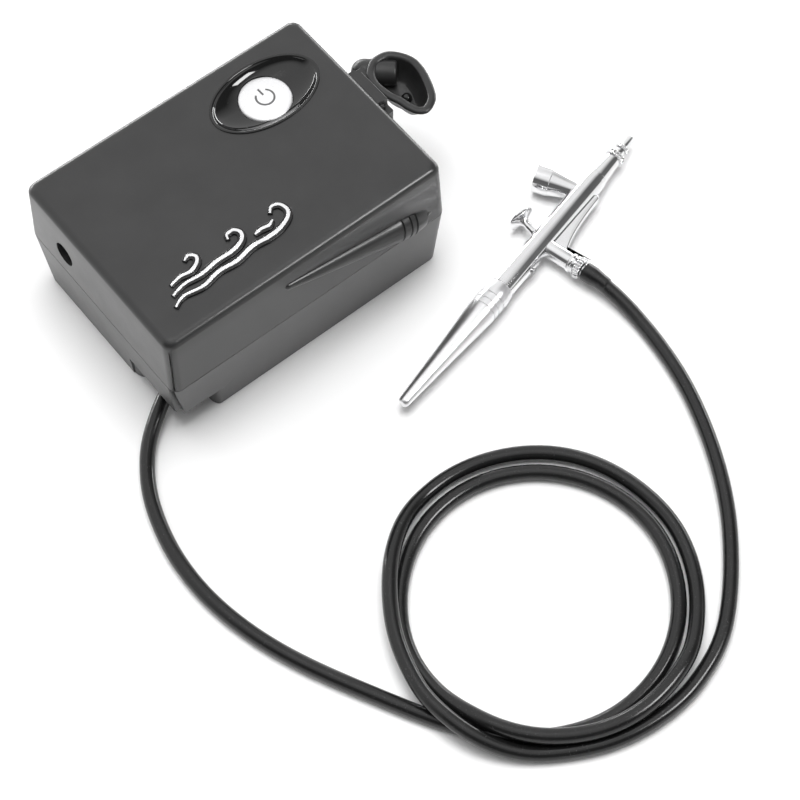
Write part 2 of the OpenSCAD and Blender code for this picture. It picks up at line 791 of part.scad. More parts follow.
module needle_chuck() {
    color("#c8aa62") on_brush() difference() {
        turned([[49, 0], [49, 1.6], [76, 1.6], [76, 2.7], [79, 2.7], [79, 1.6], [86, 1.6], [86, 0]]);
        translate([48, 0, 0]) rotate([0, 90, 0]) cylinder(h = 40, r = 0.75);
    }
}

module needle_spring() {
    color("#b0b3b7") on_brush() difference() {
        turned([[56, 0], [56, 2.6], [76, 2.6], [76, 0]]);
        translate([55, 0, 0]) rotate([0, 90, 0]) cylinder(h = 22, r = 1.8);
    }
}

module airbrush_handle() {
    g = 0.35;
    h = handle_r;
    color("#cfd1d4") on_brush() difference() {
        turned([
            [0, 0], [0, 1.7], [0.6, 2.2], [2, 2.4], [28, 4.1], [42, 5.2], [49, h], [52.4, h], [52.6, h - g],
            [53.2, h - g], [53.4, h], [55.6, h], [55.8, h - g], [56.4, h - g], [56.6, h], [58.8, h],
            [59, h - g], [59.6, h - g], [59.8, h], [61.5, h], [64.2, 5.2], [handle_end - 0.2, 5],
            [handle_end - 0.2, 0]
        ]);
        translate([25, 0, 0]) rotate([0, 90, 0]) cylinder(h = 20, r = 1.6);
        translate([43, 0, 0]) rotate([0, 90, 0]) cylinder(h = 30, r = 3.9);
    }
}

module nozzle() {
    color("#d0d2d5") on_brush() difference() {
        turned([[body_end, 0], [body_end, 2.4], [134, 2.4], [135, 1.8], [142, 1.2], [146, 1.1], [146, 0]]);
        translate([130, 0, 0]) rotate([0, 90, 0]) cylinder(h = 18, r = 0.85);
    }
}

module nozzle_cap() {
    color("#c9ccd0") on_brush() difference() {
        union() {
            turned([[body_end, 0], [body_end, 4.1], [142, 3.3], [142, 0]]);
            translate([142 - e, 0, 0]) knurled(4.3, 2.8, 20);
            turned([[144.7, 0], [144.7, 2.6], [147.6, 2.2], [147.6, 0]]);
        }
        translate([130, 0, 0]) rotate([0, 90, 0]) cylinder(h = 13, r = 2.45);
        translate([130, 0, 0]) rotate([0, 90, 0]) cylinder(h = 20, r = 1.3);
    }
}

module needle_cap() {
    color("#c2c5c9") on_brush() difference() {
        union() {
            translate([147.6, 0, 0]) knurled(3.1, 1.8, 16);
            turned([[149.3, 0], [149.3, 1.9], [155.5, 1.75], [155.5, 0]]);
        }
        translate([147, 0, 0]) rotate([0, 90, 0]) cylinder(h = 10, r = 1.1);
    }
}

top_cover();
base_tray();
rubber_feet();
case_screws();
bowl_bezel();
power_button();
button_spring();
switch_body();
circuit_board();
badge_plate();
badge_trim();
dc_socket();
holder_bracket();
holder_boss();
holder_cup();
motor_can();
motor_end_cap();
motor_magnets();
motor_rotor();
motor_cradle();
eccentric();
connecting_rod();
diaphragm();
pump_frame();
diaphragm_seal();
valve_plate();
pump_head();
pump_screws();
inner_tube();
wiring();
hose_gland();
hose_supply();
hose_coil();
hose_lead();
hose_barb();
hose_nut();
valve_body();
valve_plunger();
valve_spring();
airbrush_body();
finger_rest();
set_screw();
paint_cup();
trigger_post();
trigger();
needle();
needle_chuck();
needle_spring();
airbrush_handle();
nozzle();
nozzle_cap();
needle_cap();
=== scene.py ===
import json
import math

import bmesh
import bpy
from mathutils import Matrix, Vector


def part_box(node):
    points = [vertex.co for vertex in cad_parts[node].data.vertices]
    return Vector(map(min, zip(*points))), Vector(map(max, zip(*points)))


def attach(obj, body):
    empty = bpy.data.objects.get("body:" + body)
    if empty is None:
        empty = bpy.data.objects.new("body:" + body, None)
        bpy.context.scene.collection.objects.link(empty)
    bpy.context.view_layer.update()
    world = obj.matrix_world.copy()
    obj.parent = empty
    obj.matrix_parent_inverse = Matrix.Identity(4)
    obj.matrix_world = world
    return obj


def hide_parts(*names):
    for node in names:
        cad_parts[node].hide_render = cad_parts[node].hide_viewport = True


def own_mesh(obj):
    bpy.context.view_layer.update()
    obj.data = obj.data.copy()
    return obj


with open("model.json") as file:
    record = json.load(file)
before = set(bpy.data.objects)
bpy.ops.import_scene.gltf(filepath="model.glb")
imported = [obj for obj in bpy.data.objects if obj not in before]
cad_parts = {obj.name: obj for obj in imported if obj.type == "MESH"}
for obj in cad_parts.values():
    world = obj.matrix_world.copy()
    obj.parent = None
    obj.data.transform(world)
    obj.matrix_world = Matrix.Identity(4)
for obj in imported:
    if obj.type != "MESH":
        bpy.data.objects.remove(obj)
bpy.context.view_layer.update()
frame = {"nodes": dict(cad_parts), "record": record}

MM = 0.001
BEVEL_STEPS = 3

# ---------------------------------------------------------------- camera

CAMERA_AT = Vector((-0.2416, -0.3984, 0.7294))
CAMERA_AIM = Vector((0.00965, -0.0870, 0.0))

camera = bpy.data.objects.new("camera", bpy.data.cameras.new("camera"))
camera.data.lens = 97.2
camera.data.sensor_width = 36.0
camera.data.clip_end = 20.0
camera.location = CAMERA_AT
camera.rotation_euler = (CAMERA_AIM - CAMERA_AT).to_track_quat("-Z", "Y").to_euler()
bpy.context.scene.collection.objects.link(camera)
bpy.context.scene.camera = camera

# ---------------------------------------------------------------- helpers


def rad(a):
    return math.radians(a)


def link(obj):
    bpy.context.scene.collection.objects.link(obj)
    return obj


def smooth_edges(mesh, angle=35.0):
    """Smooth shading, with an edge kept sharp where its faces meet at more than the angle."""
    bm = bmesh.new()
    bm.from_mesh(mesh)
    bmesh.ops.remove_doubles(bm, verts=bm.verts, dist=1e-7)
    bmesh.ops.recalc_face_normals(bm, faces=bm.faces)
    for f in bm.faces:
        f.smooth = True
    for edge in bm.edges:
        edge.smooth = len(edge.link_faces) == 2 and edge.calc_face_angle(0.0) < rad(angle)
    bm.to_mesh(mesh)
    bm.free()


def mesh_object(name, verts, faces, angle=35.0):
    """Object from vertices in millimetres."""
    mesh = bpy.data.meshes.new(name)
    mesh.from_pydata([Vector(v) * MM for v in verts], [], faces)
    smooth_edges(mesh, angle)
    return link(bpy.data.objects.new(name, mesh))


def catmull(points, steps=8, closed=False):
    """Points along the smooth curve that passes through the given ones."""
    pts = [Vector(p) for p in points]
    n = len(pts)
    out = []
    spans = n if closed else n - 1
    for i in range(spans):
        if closed:
            p0, p1, p2, p3 = (pts[(i + k) % n] for k in (-1, 0, 1, 2))
        else:
            p1, p2 = pts[i], pts[i + 1]
            p0 = pts[i - 1] if i else p1 * 2 - p2
            p3 = pts[i + 2] if i + 2 < n else p2 * 2 - p1
        for s in range(steps):
            t = s / steps
            out.append(
                0.5
                * (
                    2 * p1
                    + (p2 - p0) * t
                    + (2 * p0 - 5 * p1 + 4 * p2 - p3) * t * t
                    + (3 * p1 - p0 - 3 * p2 + p3) * t**3
                )
            )
    if not closed:
        out.append(pts[-1])
    return out


def loft(rings, closed=False, caps=True):
    """Vertices and faces of a skin over rings that have the same number of points."""
    verts, faces = [], []
    n = len(rings[0])
    for ring in rings:
        verts += [Vector(p) for p in ring]
    count = len(rings)
    for i in range(count if closed else count - 1):
        a, b = i * n, ((i + 1) % count) * n
        faces += [(a + k, a + (k + 1) % n, b + (k + 1) % n, b + k) for k in range(n)]
    if caps and not closed:
        faces.append(tuple(range(n)))
        faces.append(tuple((count - 1) * n + k for k in reversed(range(n))))
    return verts, faces


def lathe(name, profile, place=Matrix.Identity(4), sides=96, radius=None, closed=False, angle=35.0):
    """Turned piece along local X, from (distance, radius) pairs. radius(r, angle) may shape the section."""
    verts, faces, rings = [], [], []
    for t, r in profile:
        if r < 1e-6:
            rings.append([len(verts)])
            verts.append(place @ Vector((t, 0, 0)))
            continue
        start = len(verts)
        for k in range(sides):
            a = 2 * math.pi * k / sides
            rr = radius(r, a) if radius else r
            verts.append(place @ Vector((t, rr * math.cos(a), rr * math.sin(a))))
        rings.append(list(range(start, start + sides)))
    pairs = list(zip(rings, rings[1:]))
    if closed:
        pairs.append((rings[-1], rings[0]))
    for a, b in pairs:
        for k in range(sides):
            k2 = (k + 1) % sides
            if len(a) == 1 and len(b) == 1:
                continue
            if len(a) == 1:
                faces.append((a[0], b[k2], b[k]))
            elif len(b) == 1:
                faces.append((a[k], a[k2], b[0]))
            else:
                faces.append((a[k], a[k2], b[k2], b[k]))
    if not closed:
        if len(rings[0]) > 1:
            faces.append(tuple(rings[0]))
        if len(rings[-1]) > 1:
            faces.append(tuple(reversed(rings[-1])))
    return mesh_object(name, verts, faces, angle)


def knurl(teeth, depth):
    """Section of a knurled ring, for lathe()."""

    def shape(r, a):
        return r * (1 - depth * (0.5 - 0.5 * math.cos(teeth * a)) ** 2)

    return shape


def box(name, low, high, bevel=0.0, place=Matrix.Identity(4)):
    """Block in millimetres, its edges rounded by the bevel."""
    low, high = Vector(low), Vector(high)
    bm = bmesh.new()
    bmesh.ops.create_cube(bm, size=1.0)
    for v in bm.verts:
        v.co = Vector(((v.co[i] + 0.5) * (high[i] - low[i]) + low[i] for i in range(3)))
    if bevel:
        bmesh.ops.bevel(bm, geom=list(bm.edges), offset=bevel, segments=BEVEL_STEPS, profile=0.5, affect="EDGES")
    for v in bm.verts:
        v.co = (place @ v.co) * MM
    mesh = bpy.data.meshes.new(name)
    bm.to_mesh(mesh)
    bm.free()
    smooth_edges(mesh)
    return link(bpy.data.objects.new(name, mesh))


def prism(name, outline, z0, z1, bevel=0.0, place=Matrix.Identity(4)):
    """Flat outline raised from z0 to z1, its top edge rounded, in millimetres."""
    bm = bmesh.new()
    bottom = [bm.verts.new((p[0], p[1], z0)) for p in outline]
    face = bm.faces.new(bottom)
    face.normal_update()
    up = bmesh.ops.extrude_face_region(bm, geom=[face])
    tops = [v for v in up["geom"] if isinstance(v, bmesh.types.BMVert)]
    for v in tops:
        v.co.z = z1
    bmesh.ops.recalc_face_normals(bm, faces=bm.faces)
    if bevel:
        rim = [e for e in bm.edges if all(abs(v.co.z - z1) < 1e-6 for v in e.verts)]
        bmesh.ops.bevel(bm, geom=rim, offset=bevel, segments=BEVEL_STEPS, profile=0.5, affect="EDGES")
    for v in bm.verts:
        v.co = (place @ v.co) * MM
    mesh = bpy.data.meshes.new(name)
    bm.to_mesh(mesh)
    bm.free()
    smooth_edges(mesh)
    return link(bpy.data.objects.new(name, mesh))


def apply_modifiers(obj, angle=35.0):
    bpy.context.view_layer.update()
    shape = obj.evaluated_get(bpy.context.evaluated_depsgraph_get())
    mesh = bpy.data.meshes.new_from_object(shape)
    obj.modifiers.clear()
    obj.data = mesh
    smooth_edges(mesh, angle)
    return obj


def cut(obj, *cutters, operation="DIFFERENCE"):
    for cutter in cutters:
        m = obj.modifiers.new("cut", "BOOLEAN")
        m.operation = operation
        m.object = cutter
        m.solver = "EXACT"
    apply_modifiers(obj)
    for cutter in cutters:
        bpy.data.objects.remove(cutter)
    return obj


def along(start, direction):
    """Matrix that carries local X to the direction, and the origin to the start."""
    d = Vector(direction).normalized()
    return Matrix.Translation(Vector(start)) @ d.to_track_quat("X", "Z").to_matrix().to_4x4()


def upright(x, y, z=0.0):
    """Matrix that carries local X to Z, and the origin to a point."""
    return Matrix.Translation((x, y, z)) @ Matrix.Rotation(rad(-90), 4, "Y")


def finish_piece(obj, material, body="case", stands_for=()):
    obj.data.materials.clear()
    obj.data.materials.append(material)
    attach(obj, body)
    if stands_for:
        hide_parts(*stands_for)
    return obj


# ---------------------------------------------------------------- materials


class Nodes:
    """Small helper round a material's node tree."""

    def __init__(self, name):
        self.material = bpy.data.materials.new(name)
        self.material.use_nodes = True
        self.tree = self.material.node_tree
        self.shader = self.tree.nodes["Principled BSDF"]
        self.coords = self.add("ShaderNodeTexCoord").outputs["Object"]

    def add(self, kind, **values):
        node = self.tree.nodes.new(kind)
        for key, value in values.items():
            if hasattr(node, key):
                setattr(node, key, value)
            else:
                node.inputs[key.replace("_", " ")].default_value = value
        return node

    def join(self, a, b):
        self.tree.links.new(a, b)

    def set(self, name, value):
        self.shader.inputs[name].default_value = value

    def noise(self, scale, detail=2.0, rough=0.5, stretch=None, turn=0.0):
        node = self.add("ShaderNodeTexNoise")
        node.inputs["Scale"].default_value = scale
        node.inputs["Detail"].default_value = detail
        node.inputs["Roughness"].default_value = rough
        source = self.coords
        if stretch:
            mapping = self.add("ShaderNodeMapping")
            mapping.inputs["Rotation"].default_value = (0, 0, turn)
            mapping.inputs["Scale"].default_value = stretch
            self.join(self.coords, mapping.inputs["Vector"])
            source = mapping.outputs["Vector"]
        self.join(source, node.inputs["Vector"])
        return node.outputs["Fac"]

    def ramp(self, source, stops):
        node = self.add("ShaderNodeValToRGB")
        elements = node.color_ramp.elements
        while len(elements) < len(stops):
            elements.new(0.5)
        for element, (position, colour) in zip(elements, stops):
            element.position = position
            element.color = (*colour, 1.0)
        self.join(source, node.inputs["Fac"])
        return node.outputs["Color"]

    def spread(self, source, low, high, start=0.3, end=0.7):
        node = self.add("ShaderNodeMapRange")
        node.inputs["From Min"].default_value = start
        node.inputs["From Max"].default_value = end
        node.inputs["To Min"].default_value = low
        node.inputs["To Max"].default_value = high
        self.join(source, node.inputs["Value"])
        return node.outputs["Result"]

    def bump(self, source, strength, distance=0.0001):
        node = self.add("ShaderNodeBump")
        node.inputs["Strength"].default_value = strength
        node.inputs["Distance"].default_value = distance
        self.join(source, node.inputs["Height"])
        self.join(node.outputs["Normal"], self.shader.inputs["Normal"])


def surface(name, dark, light, rough, metallic=0.0, grain=2500.0, bump=0.1, patch=60.0, specular=0.5,
            coat=0.0, stretch=None, turn=0.0):
    """Material with a slightly varying colour and roughness, and a fine grain in its surface."""
    n = Nodes(name)
    broad = n.noise(patch, 4.0, 0.6)
    fine = n.noise(grain, 3.0, 0.55, stretch, turn)
    n.join(n.ramp(broad, [(0.3, dark), (0.7, light)]), n.shader.inputs["Base Color"])
    n.join(n.spread(broad, rough[0], rough[1]), n.shader.inputs["Roughness"])
    n.bump(fine, bump)
    n.set("Metallic", metallic)
    n.set("Specular IOR Level", specular)
    n.set("Coat Weight", coat)
    n.set("Coat Roughness", 0.08)
    return n.material


def speckled(name, dark, light, dust, rough, specular=0.5, grain=1800.0, amount=0.74):
    """Glossy rubber or plastic with fine dust on it."""
    n = Nodes(name)
    broad = n.noise(90.0, 4.0, 0.6)
    specks = n.noise(grain, 1.0, 0.5)
    base = n.ramp(specks, [(0.0, dark), (amount - 0.03, light), (amount, dust)])
    n.join(base, n.shader.inputs["Base Color"])
    n.join(n.spread(broad, rough[0], rough[1]), n.shader.inputs["Roughness"])
    n.bump(n.noise(700.0, 3.0, 0.6), 0.06)
    n.set("Specular IOR Level", specular)
    return n.material


def grey(v):
    return (v, v, v * 1.01)


ALONG_BRUSH = rad(-14.0)

M = {
    "cover": surface("cover_plastic", grey(0.018), grey(0.022), (0.29, 0.36), grain=3200.0, bump=0.07, coat=0.2),
    "base": surface("base_plastic", grey(0.065), grey(0.078), (0.38, 0.46), grain=3000.0, bump=0.12, specular=0.8),
    "gloss": surface("bowl_gloss", grey(0.004), grey(0.006), (0.03, 0.07), grain=400.0, bump=0.01, coat=0.4),
    "button": surface("button_silver", grey(0.80), grey(0.88), (0.24, 0.32), 0.35, 4000.0, 0.03),
    "mark": surface("button_mark", grey(0.10), grey(0.14), (0.45, 0.55), 0.2, 3000.0, 0.05),
    "plate": surface("badge_black", grey(0.006), grey(0.010), (0.12, 0.2), grain=900.0, bump=0.03),
    "badge": surface("badge_chrome", grey(0.88), grey(0.94), (0.20, 0.30), 0.85, 900.0, 0.02),
    "holder": surface("holder_black", grey(0.018), grey(0.026), (0.30, 0.38), grain=2600.0, bump=0.07),
    "hose": speckled("hose_black", grey(0.006), grey(0.010), grey(0.05), (0.16, 0.26)),
    "cuff": surface("gland_black", grey(0.008), grey(0.012), (0.3, 0.4), grain=1500.0, bump=0.05),
    "chrome": surface("airbrush_chrome", grey(0.80), grey(0.88), (0.07, 0.13), 1.0, 800.0, 0.015),
    "satin": surface("airbrush_satin", grey(0.80), grey(0.86), (0.27, 0.34), 1.0, 5000.0, 0.10,
                     stretch=(1.0, 0.02, 0.02), turn=ALONG_BRUSH),
    "steel": surface("screw_steel", grey(0.40), grey(0.55), (0.25, 0.35), 1.0, 2500.0, 0.06),
    "spring": surface("spring_steel", grey(0.50), grey(0.62), (0.2, 0.3), 1.0, 2500.0, 0.06),
    "foot": surface("foot_rubber", grey(0.010), grey(0.018), (0.7, 0.8), grain=2200.0, bump=0.2),
    "socket": surface("socket_black", grey(0.008), grey(0.012), (0.3, 0.4), grain=2200.0, bump=0.06),
}
for key, value in {
    "switch_black": (grey(0.012), grey(0.02), (0.4, 0.5), 0.0),
    "board_green": ((0.012, 0.09, 0.03), (0.02, 0.13, 0.045), (0.35, 0.5), 0.0),
    "motor_steel": (grey(0.42), grey(0.52), (0.25, 0.35), 1.0),
    "cap_nylon": ((0.62, 0.61, 0.56), (0.7, 0.69, 0.64), (0.45, 0.55), 0.0),
    "magnet": (grey(0.03), grey(0.05), (0.6, 0.7), 0.3),
    "pump_metal": (grey(0.28), grey(0.36), (0.35, 0.5), 1.0),
    "pump_plastic": ((0.6, 0.59, 0.53), (0.7, 0.68, 0.62), (0.4, 0.5), 0.0),
    "seal_rubber": (grey(0.012), grey(0.02), (0.6, 0.75), 0.0),
    "tube_clear": ((0.4, 0.42, 0.43), (0.5, 0.52, 0.53), (0.3, 0.4), 0.0),
    "wire_red": ((0.4, 0.015, 0.012), (0.5, 0.03, 0.02), (0.35, 0.45), 0.0),
    "needle_steel": (grey(0.6), grey(0.7), (0.12, 0.2), 1.0),
    "chuck_brass": ((0.55, 0.40, 0.16), (0.66, 0.5, 0.22), (0.2, 0.3), 1.0),
}.items():
    M[key] = surface(key, value[0], value[1], value[2], value[3])

SLOT_MATERIAL = {
    "cover_plastic": "cover", "base_plastic": "base", "foot_rubber": "foot", "screw_steel": "steel",
    "bowl_gloss": "gloss", "button_silver": "button", "spring_steel": "spring", "badge_black": "plate",
    "badge_chrome": "badge", "socket_black": "socket", "holder_black": "holder", "hose_black": "hose",
    "gland_black": "cuff", "airbrush_chrome": "chrome", "airbrush_satin": "satin",
}
for part in frame["record"]["subparts"]:
    node = frame["nodes"][part["node"]]
    look = M[SLOT_MATERIAL.get(part["material_slot"], part["material_slot"])]
    for entry in node.material_slots:
        entry.material = look
    if not node.material_slots:
        node.data.materials.append(look)

# ---------------------------------------------------------------- hose

HOSE_D = 6.0
EASE_PASSES = 20
COIL = Vector((-2.5, -185.0, 0.0))


def turn_point(angle, radius, height):
    return COIL + Vector((radius * math.cos(rad(angle)), radius * math.sin(rad(angle)), height))


SUPPLY = [
    (-50, -28, 6.5), (-55, -29, 6.5), (-60, -31, 6), (-65, -34, 5.5), (-71, -38, 4.5), (-78, -43.5, 3.5),
    (-84, -51, 3), (-90, -61, 3), (-94, -72.5, 3), (-97, -85, 3), (-98, -98, 3), (-97.5, -111, 3),
    (-95, -125, 3), (-91, -139, 3), (-85, -154, 3), (-77, -170, 3), (-71, -181.5, 3),
]
# Each turn is a list of angle, radius and height about the coil's centre
FIRST_TURN = [
    (195, 60.5, 3), (210, 56.5, 3), (225, 54.5, 3), (240, 53, 3), (260, 52.5, 3), (285, 51.5, 3), (310, 51, 3),
    (335, 51, 3), (360, 52.5, 3), (390, 53, 3), (420, 53.5, 3), (450, 54, 3), (480, 54, 3), (510, 54, 3),
    (530, 54, 3), (545, 53.5, 3.5), (555, 53.5, 5.5),
]
SECOND_TURN = [
    (565, 54, 7.5), (575, 55, 8.5), (590, 56, 8.5), (610, 57, 8.5), (630, 57.5, 8.5), (650, 57, 8),
    (660, 57, 6.5), (670, 56.5, 5), (680, 56.5, 3.5), (690, 57, 3), (705, 58, 3), (720, 58.5, 3),
    (740, 59.5, 3), (760, 60.5, 3), (780, 60.5, 3), (800, 60.5, 3), (815, 60, 3), (825, 59.5, 4.5),
    (835, 58.5, 7), (850, 57, 9), (865, 56, 9), (880, 57, 9), (895, 58, 9), (905, 59.5, 9), (915, 60, 9),
    (925, 61, 8), (935, 61, 5.5), (945, 60.5, 3.5), (955, 59.5, 3), (965, 59.5, 3), (975, 60, 3),
    (985, 60.5, 3), (995, 61.5, 3), (1005, 63, 3),
]
LEAD = [
    (23, -243.5, 3), (31, -241, 3), (39, -237, 3), (46, -232, 3), (55, -224, 3), (63.5, -215, 3),
    (71.5, -205.5, 3), (78.5, -195.5, 3), (85, -184.5, 3), (91, -172, 3), (96, -159.5, 3), (100, -146.5, 3),
    (102.5, -133, 3), (104, -121, 3), (104, -112, 4), (103.5, -103.5, 5), (102, -96.5, 6), (101, -92.5, 6),
    (100.5, -90, 6),
]
route = catmull(SUPPLY + [turn_point(*p) for p in FIRST_TURN + SECOND_TURN] + LEAD, 6)
for _ in range(EASE_PASSES):
    # Evens out the curve in plan, as a springy hose does, and keeps its ends
    eased = [(a + b * 2 + c) / 4 for a, b, c in zip(route, route[1:], route[2:])]
    for point, new in zip(route[1:-1], eased):
        point.x, point.y = new.x, new.y
for point in route:
    point.z = max(point.z, HOSE_D / 2)

curve = bpy.data.curves.new("air_hose", "CURVE")
curve.dimensions = "3D"
curve.bevel_depth = (HOSE_D / 2 - 0.03) * MM
curve.bevel_resolution = 8
curve.use_fill_caps = True
spline = curve.splines.new("POLY")
spline.points.add(len(route) - 1)
for point, co in zip(spline.points, route):
    point.co = (*(co * MM), 1.0)
spline.use_smooth = True
hose = link(bpy.data.objects.new("air_hose", curve))
finish_piece(hose, M["hose"], "case", ("hose_supply", "hose_coil", "hose_lead"))

# Airbrush's own frame: X from the handle to the nozzle, Y to the trigger's side
BRUSH = Matrix.Translation((7, -91.5, 6.2)) @ Matrix.Rotation(rad(14), 4, "Z")
VALVE_U = 91.3


def on_valve(v):
    """Local X runs from the valve's end back to the tube."""
    return BRUSH @ Matrix.Translation((VALVE_U, v, 0)) @ Matrix.Rotation(rad(90), 4, "Z")


# The hose is stretched over the barb, so its last few millimetres are fatter
cuff = lathe("hose_end", [
    (-11.5, 2.6), (-11, 3.05), (-8, 3.15), (-5.5, 3.5), (-4.5, 3.72), (-1.2, 3.78), (-0.5, 3.72), (-0.1, 3.4),
    (0, 2.3), (-1, 2.3), (-11.5, 2.4),
], on_valve(-21.2), 64, closed=True)
for v in cuff.data.vertices:
    back = (on_valve(-21.2).inverted() @ (v.co / MM)).x
    sag = min(0.0, back + 5.5)
    v.co += BRUSH.to_3x3() @ Vector((-0.012 * sag * sag, 0, -0.008 * sag * sag)) * MM
finish_piece(cuff, M["hose"])

# ---------------------------------------------------------------- case

base_low, base_high = (Vector(c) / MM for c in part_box("base_tray"))
cover_high = Vector(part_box("top_cover")[1]) / MM
bowl_low, bowl_high = (Vector(c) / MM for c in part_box("bowl_bezel"))
CASE_L, CASE_W = base_high.x - base_low.x, base_high.y - base_low.y
CASE_H, SEAM = cover_high.z, base_high.z
COVER_LEAN, BASE_LEAN, WALL = 1.4, 2.0, 2.0
CORNER_R, TOP_R = 4.0, 3.0
INLET_Y, INLET_Z = 22, 44
COVER_RISE = 30
BOWL = Vector(((bowl_low.x + bowl_high.x) / 2, (bowl_low.y + bowl_high.y) / 2, 0.0))
BOWL_A, BOWL_B = (bowl_high.x - bowl_low.x) / 2, (bowl_high.y - bowl_low.y) / 2


def rounded_rect(length, width, r, z, n=14, straight=5):
    """Points round a rectangle with rounded corners, at height z."""
    out = []
    corners = [(1, 1, 0), (-1, 1, 90), (-1, -1, 180), (1, -1, 270)]
    for i, (sx, sy, a0) in enumerate(corners):
        cx, cy = sx * (length / 2 - r), sy * (width / 2 - r)
        turns = [rad(a0 + 90 * k / n) for k in range(n + 1)]
        arc = [(cx + r * math.cos(a), cy + r * math.sin(a)) for a in turns]
        out += arc
        nx, ny, na = corners[(i + 1) % 4]
        ex = nx * (length / 2 - r) + r * math.cos(rad(na))
        ey = ny * (width / 2 - r) + r * math.sin(rad(na))
        for k in range(1, straight):
            t = k / straight
            out.append((arc[-1][0] + (ex - arc[-1][0]) * t, arc[-1][1] + (ey - arc[-1][1]) * t))
    return [Vector((x, y, z)) for x, y in out]


def case_ring(z, inset, r):
    return rounded_rect(CASE_L - 2 * inset, CASE_W - 2 * inset, r, z)


def oval_ring(like, a, b, z):
    """Points of the bowl's oval that face the points of another ring, seen from the bowl's middle."""
    out = []
    for p in like:
        angle = math.atan2(p.y - BOWL.y, p.x - BOWL.x)
        r = a * b / math.hypot(b * math.cos(angle), a * math.sin(angle))
        out.append(Vector((BOWL.x + r * math.cos(angle), BOWL.y + r * math.sin(angle), z)))
    return out


rings = [case_ring(SEAM, 0.6, CORNER_R), case_ring(SEAM + 0.35, 0.0, CORNER_R)]
rings += [case_ring(SEAM + 7 * k, COVER_LEAN * 7 * k / COVER_RISE, CORNER_R) for k in (1, 2, 3)]
for k in range(9):
    a = rad(90 * k / 8)
    z = CASE_H - TOP_R + TOP_R * math.sin(a)
    inset = COVER_LEAN * (z - SEAM) / COVER_RISE + TOP_R * (1 - math.cos(a))
    rings.append(case_ring(z, inset, CORNER_R - 0.3 * TOP_R * (1 - math.cos(a))))
top_ring = rings[-1]
rings.append([p.lerp(q, 0.02) for p, q in zip(top_ring, oval_ring(top_ring, BOWL_A, BOWL_B, CASE_H))])
rings.append(oval_ring(top_ring, BOWL_A - 0.6, BOWL_B - 0.6, CASE_H))
rings.append(oval_ring(top_ring, BOWL_A - 0.6, BOWL_B - 0.6, CASE_H - WALL))
rings.append(case_ring(CASE_H - WALL, COVER_LEAN + WALL, CORNER_R - 1.5))
rings.append(case_ring(SEAM, WALL, CORNER_R - 1.5))
cover = mesh_object("cover_shell", *loft(rings, closed=True), 32.0)
inlet_cutter = lathe("cutter", [(-4, 5.1), (6, 5.1)], Matrix.Translation((-CASE_L / 2, INLET_Y, INLET_Z)), 64)
DIAGONAL = Vector((-math.sqrt(0.5), -math.sqrt(0.5), 0))
groove_rings = []
for z in (SEAM - 1, 57.5):
    lean = COVER_LEAN * (z - SEAM) / COVER_RISE
    middle = Vector((-CASE_L / 2 + lean + CORNER_R, -CASE_W / 2 + lean + CORNER_R, z)) + DIAGONAL * CORNER_R
    across = Vector((DIAGONAL.y, -DIAGONAL.x, 0)) * 0.3
    groove_rings.append([middle + DIAGONAL * d + across * w for d, w in ((1, 1), (1, -1), (-0.9, -1), (-0.9, 1))])
groove_cutter = mesh_object("cutter", *loft(groove_rings))
cut(cover, inlet_cutter, groove_cutter)
finish_piece(cover, M["cover"], "case", ("top_cover",))

# Case screws: where they stand, and the height each starts from
CASE_SCREWS = [(-56, -37, 12), (-56, 37, 0), (56, -37, 0), (56, 37, 0)]

# Posts inside the cover that take the case screws
for i, (x, y, _) in enumerate(CASE_SCREWS):
    post = lathe(f"cover_post_{i}", [(SEAM, 1.3), (SEAM, 3.5), (60.4, 3.5), (60.4, 1.3)],
                 upright(x, y), 40, closed=True)
    finish_piece(post, M["cover"])
rail = box("holder_rail_web", (62.7, -2, 38), (66.7, 8, 53.5), 0.3)
finish_piece(rail, M["cover"])
rail = box("holder_rail_flange", (66.6, -5, 38), (68.2, 11, 53.5), 0.4)
finish_piece(rail, M["cover"])

# Inlet: a socket at the bottom of the hole in the left wall
INLET = Matrix.Translation((0, INLET_Y, INLET_Z))
socket = lathe("inlet_ring", [
    (-63.6, 4.6), (-63.4, 5.0), (-62.2, 5.0), (-62.1, 6.0), (-50.2, 6.0), (-50.2, 0.0), (-53.5, 0.0),
    (-53.5, 2.9), (-60.8, 2.9), (-61.2, 3.2), (-61.2, 4.4),
], INLET, 72, closed=True)
finish_piece(socket, M["socket"], "case", ("dc_socket",))
pin = lathe("inlet_pin", [(-60.9, 0), (-60.7, 0.7), (-60.3, 1.0), (-53.0, 1.0), (-53.0, 0)], INLET, 32)
finish_piece(pin, M["steel"])

# Base, with the corner cut away where the hose leaves
base_rings = [case_ring(0.0, BASE_LEAN + 0.5, CORNER_R + 0.5)]
for z in (0.5, 8, 16, 24, 31.7):
    base_rings.append(case_ring(z, BASE_LEAN * (SEAM - z) / SEAM, CORNER_R + 0.5 - 0.5 * z / SEAM))
base_rings.append(case_ring(SEAM, 0.65, CORNER_R))
base = mesh_object("base_shell", *loft(base_rings), 32.0)
hollow = mesh_object("cutter", *loft([
    case_ring(WALL, BASE_LEAN + WALL, 3.0), case_ring(SEAM + 1, WALL, 3.0)]))
NOTCH_X, NOTCH_Y, NOTCH_Z = -47.0, -19.0, 12.0


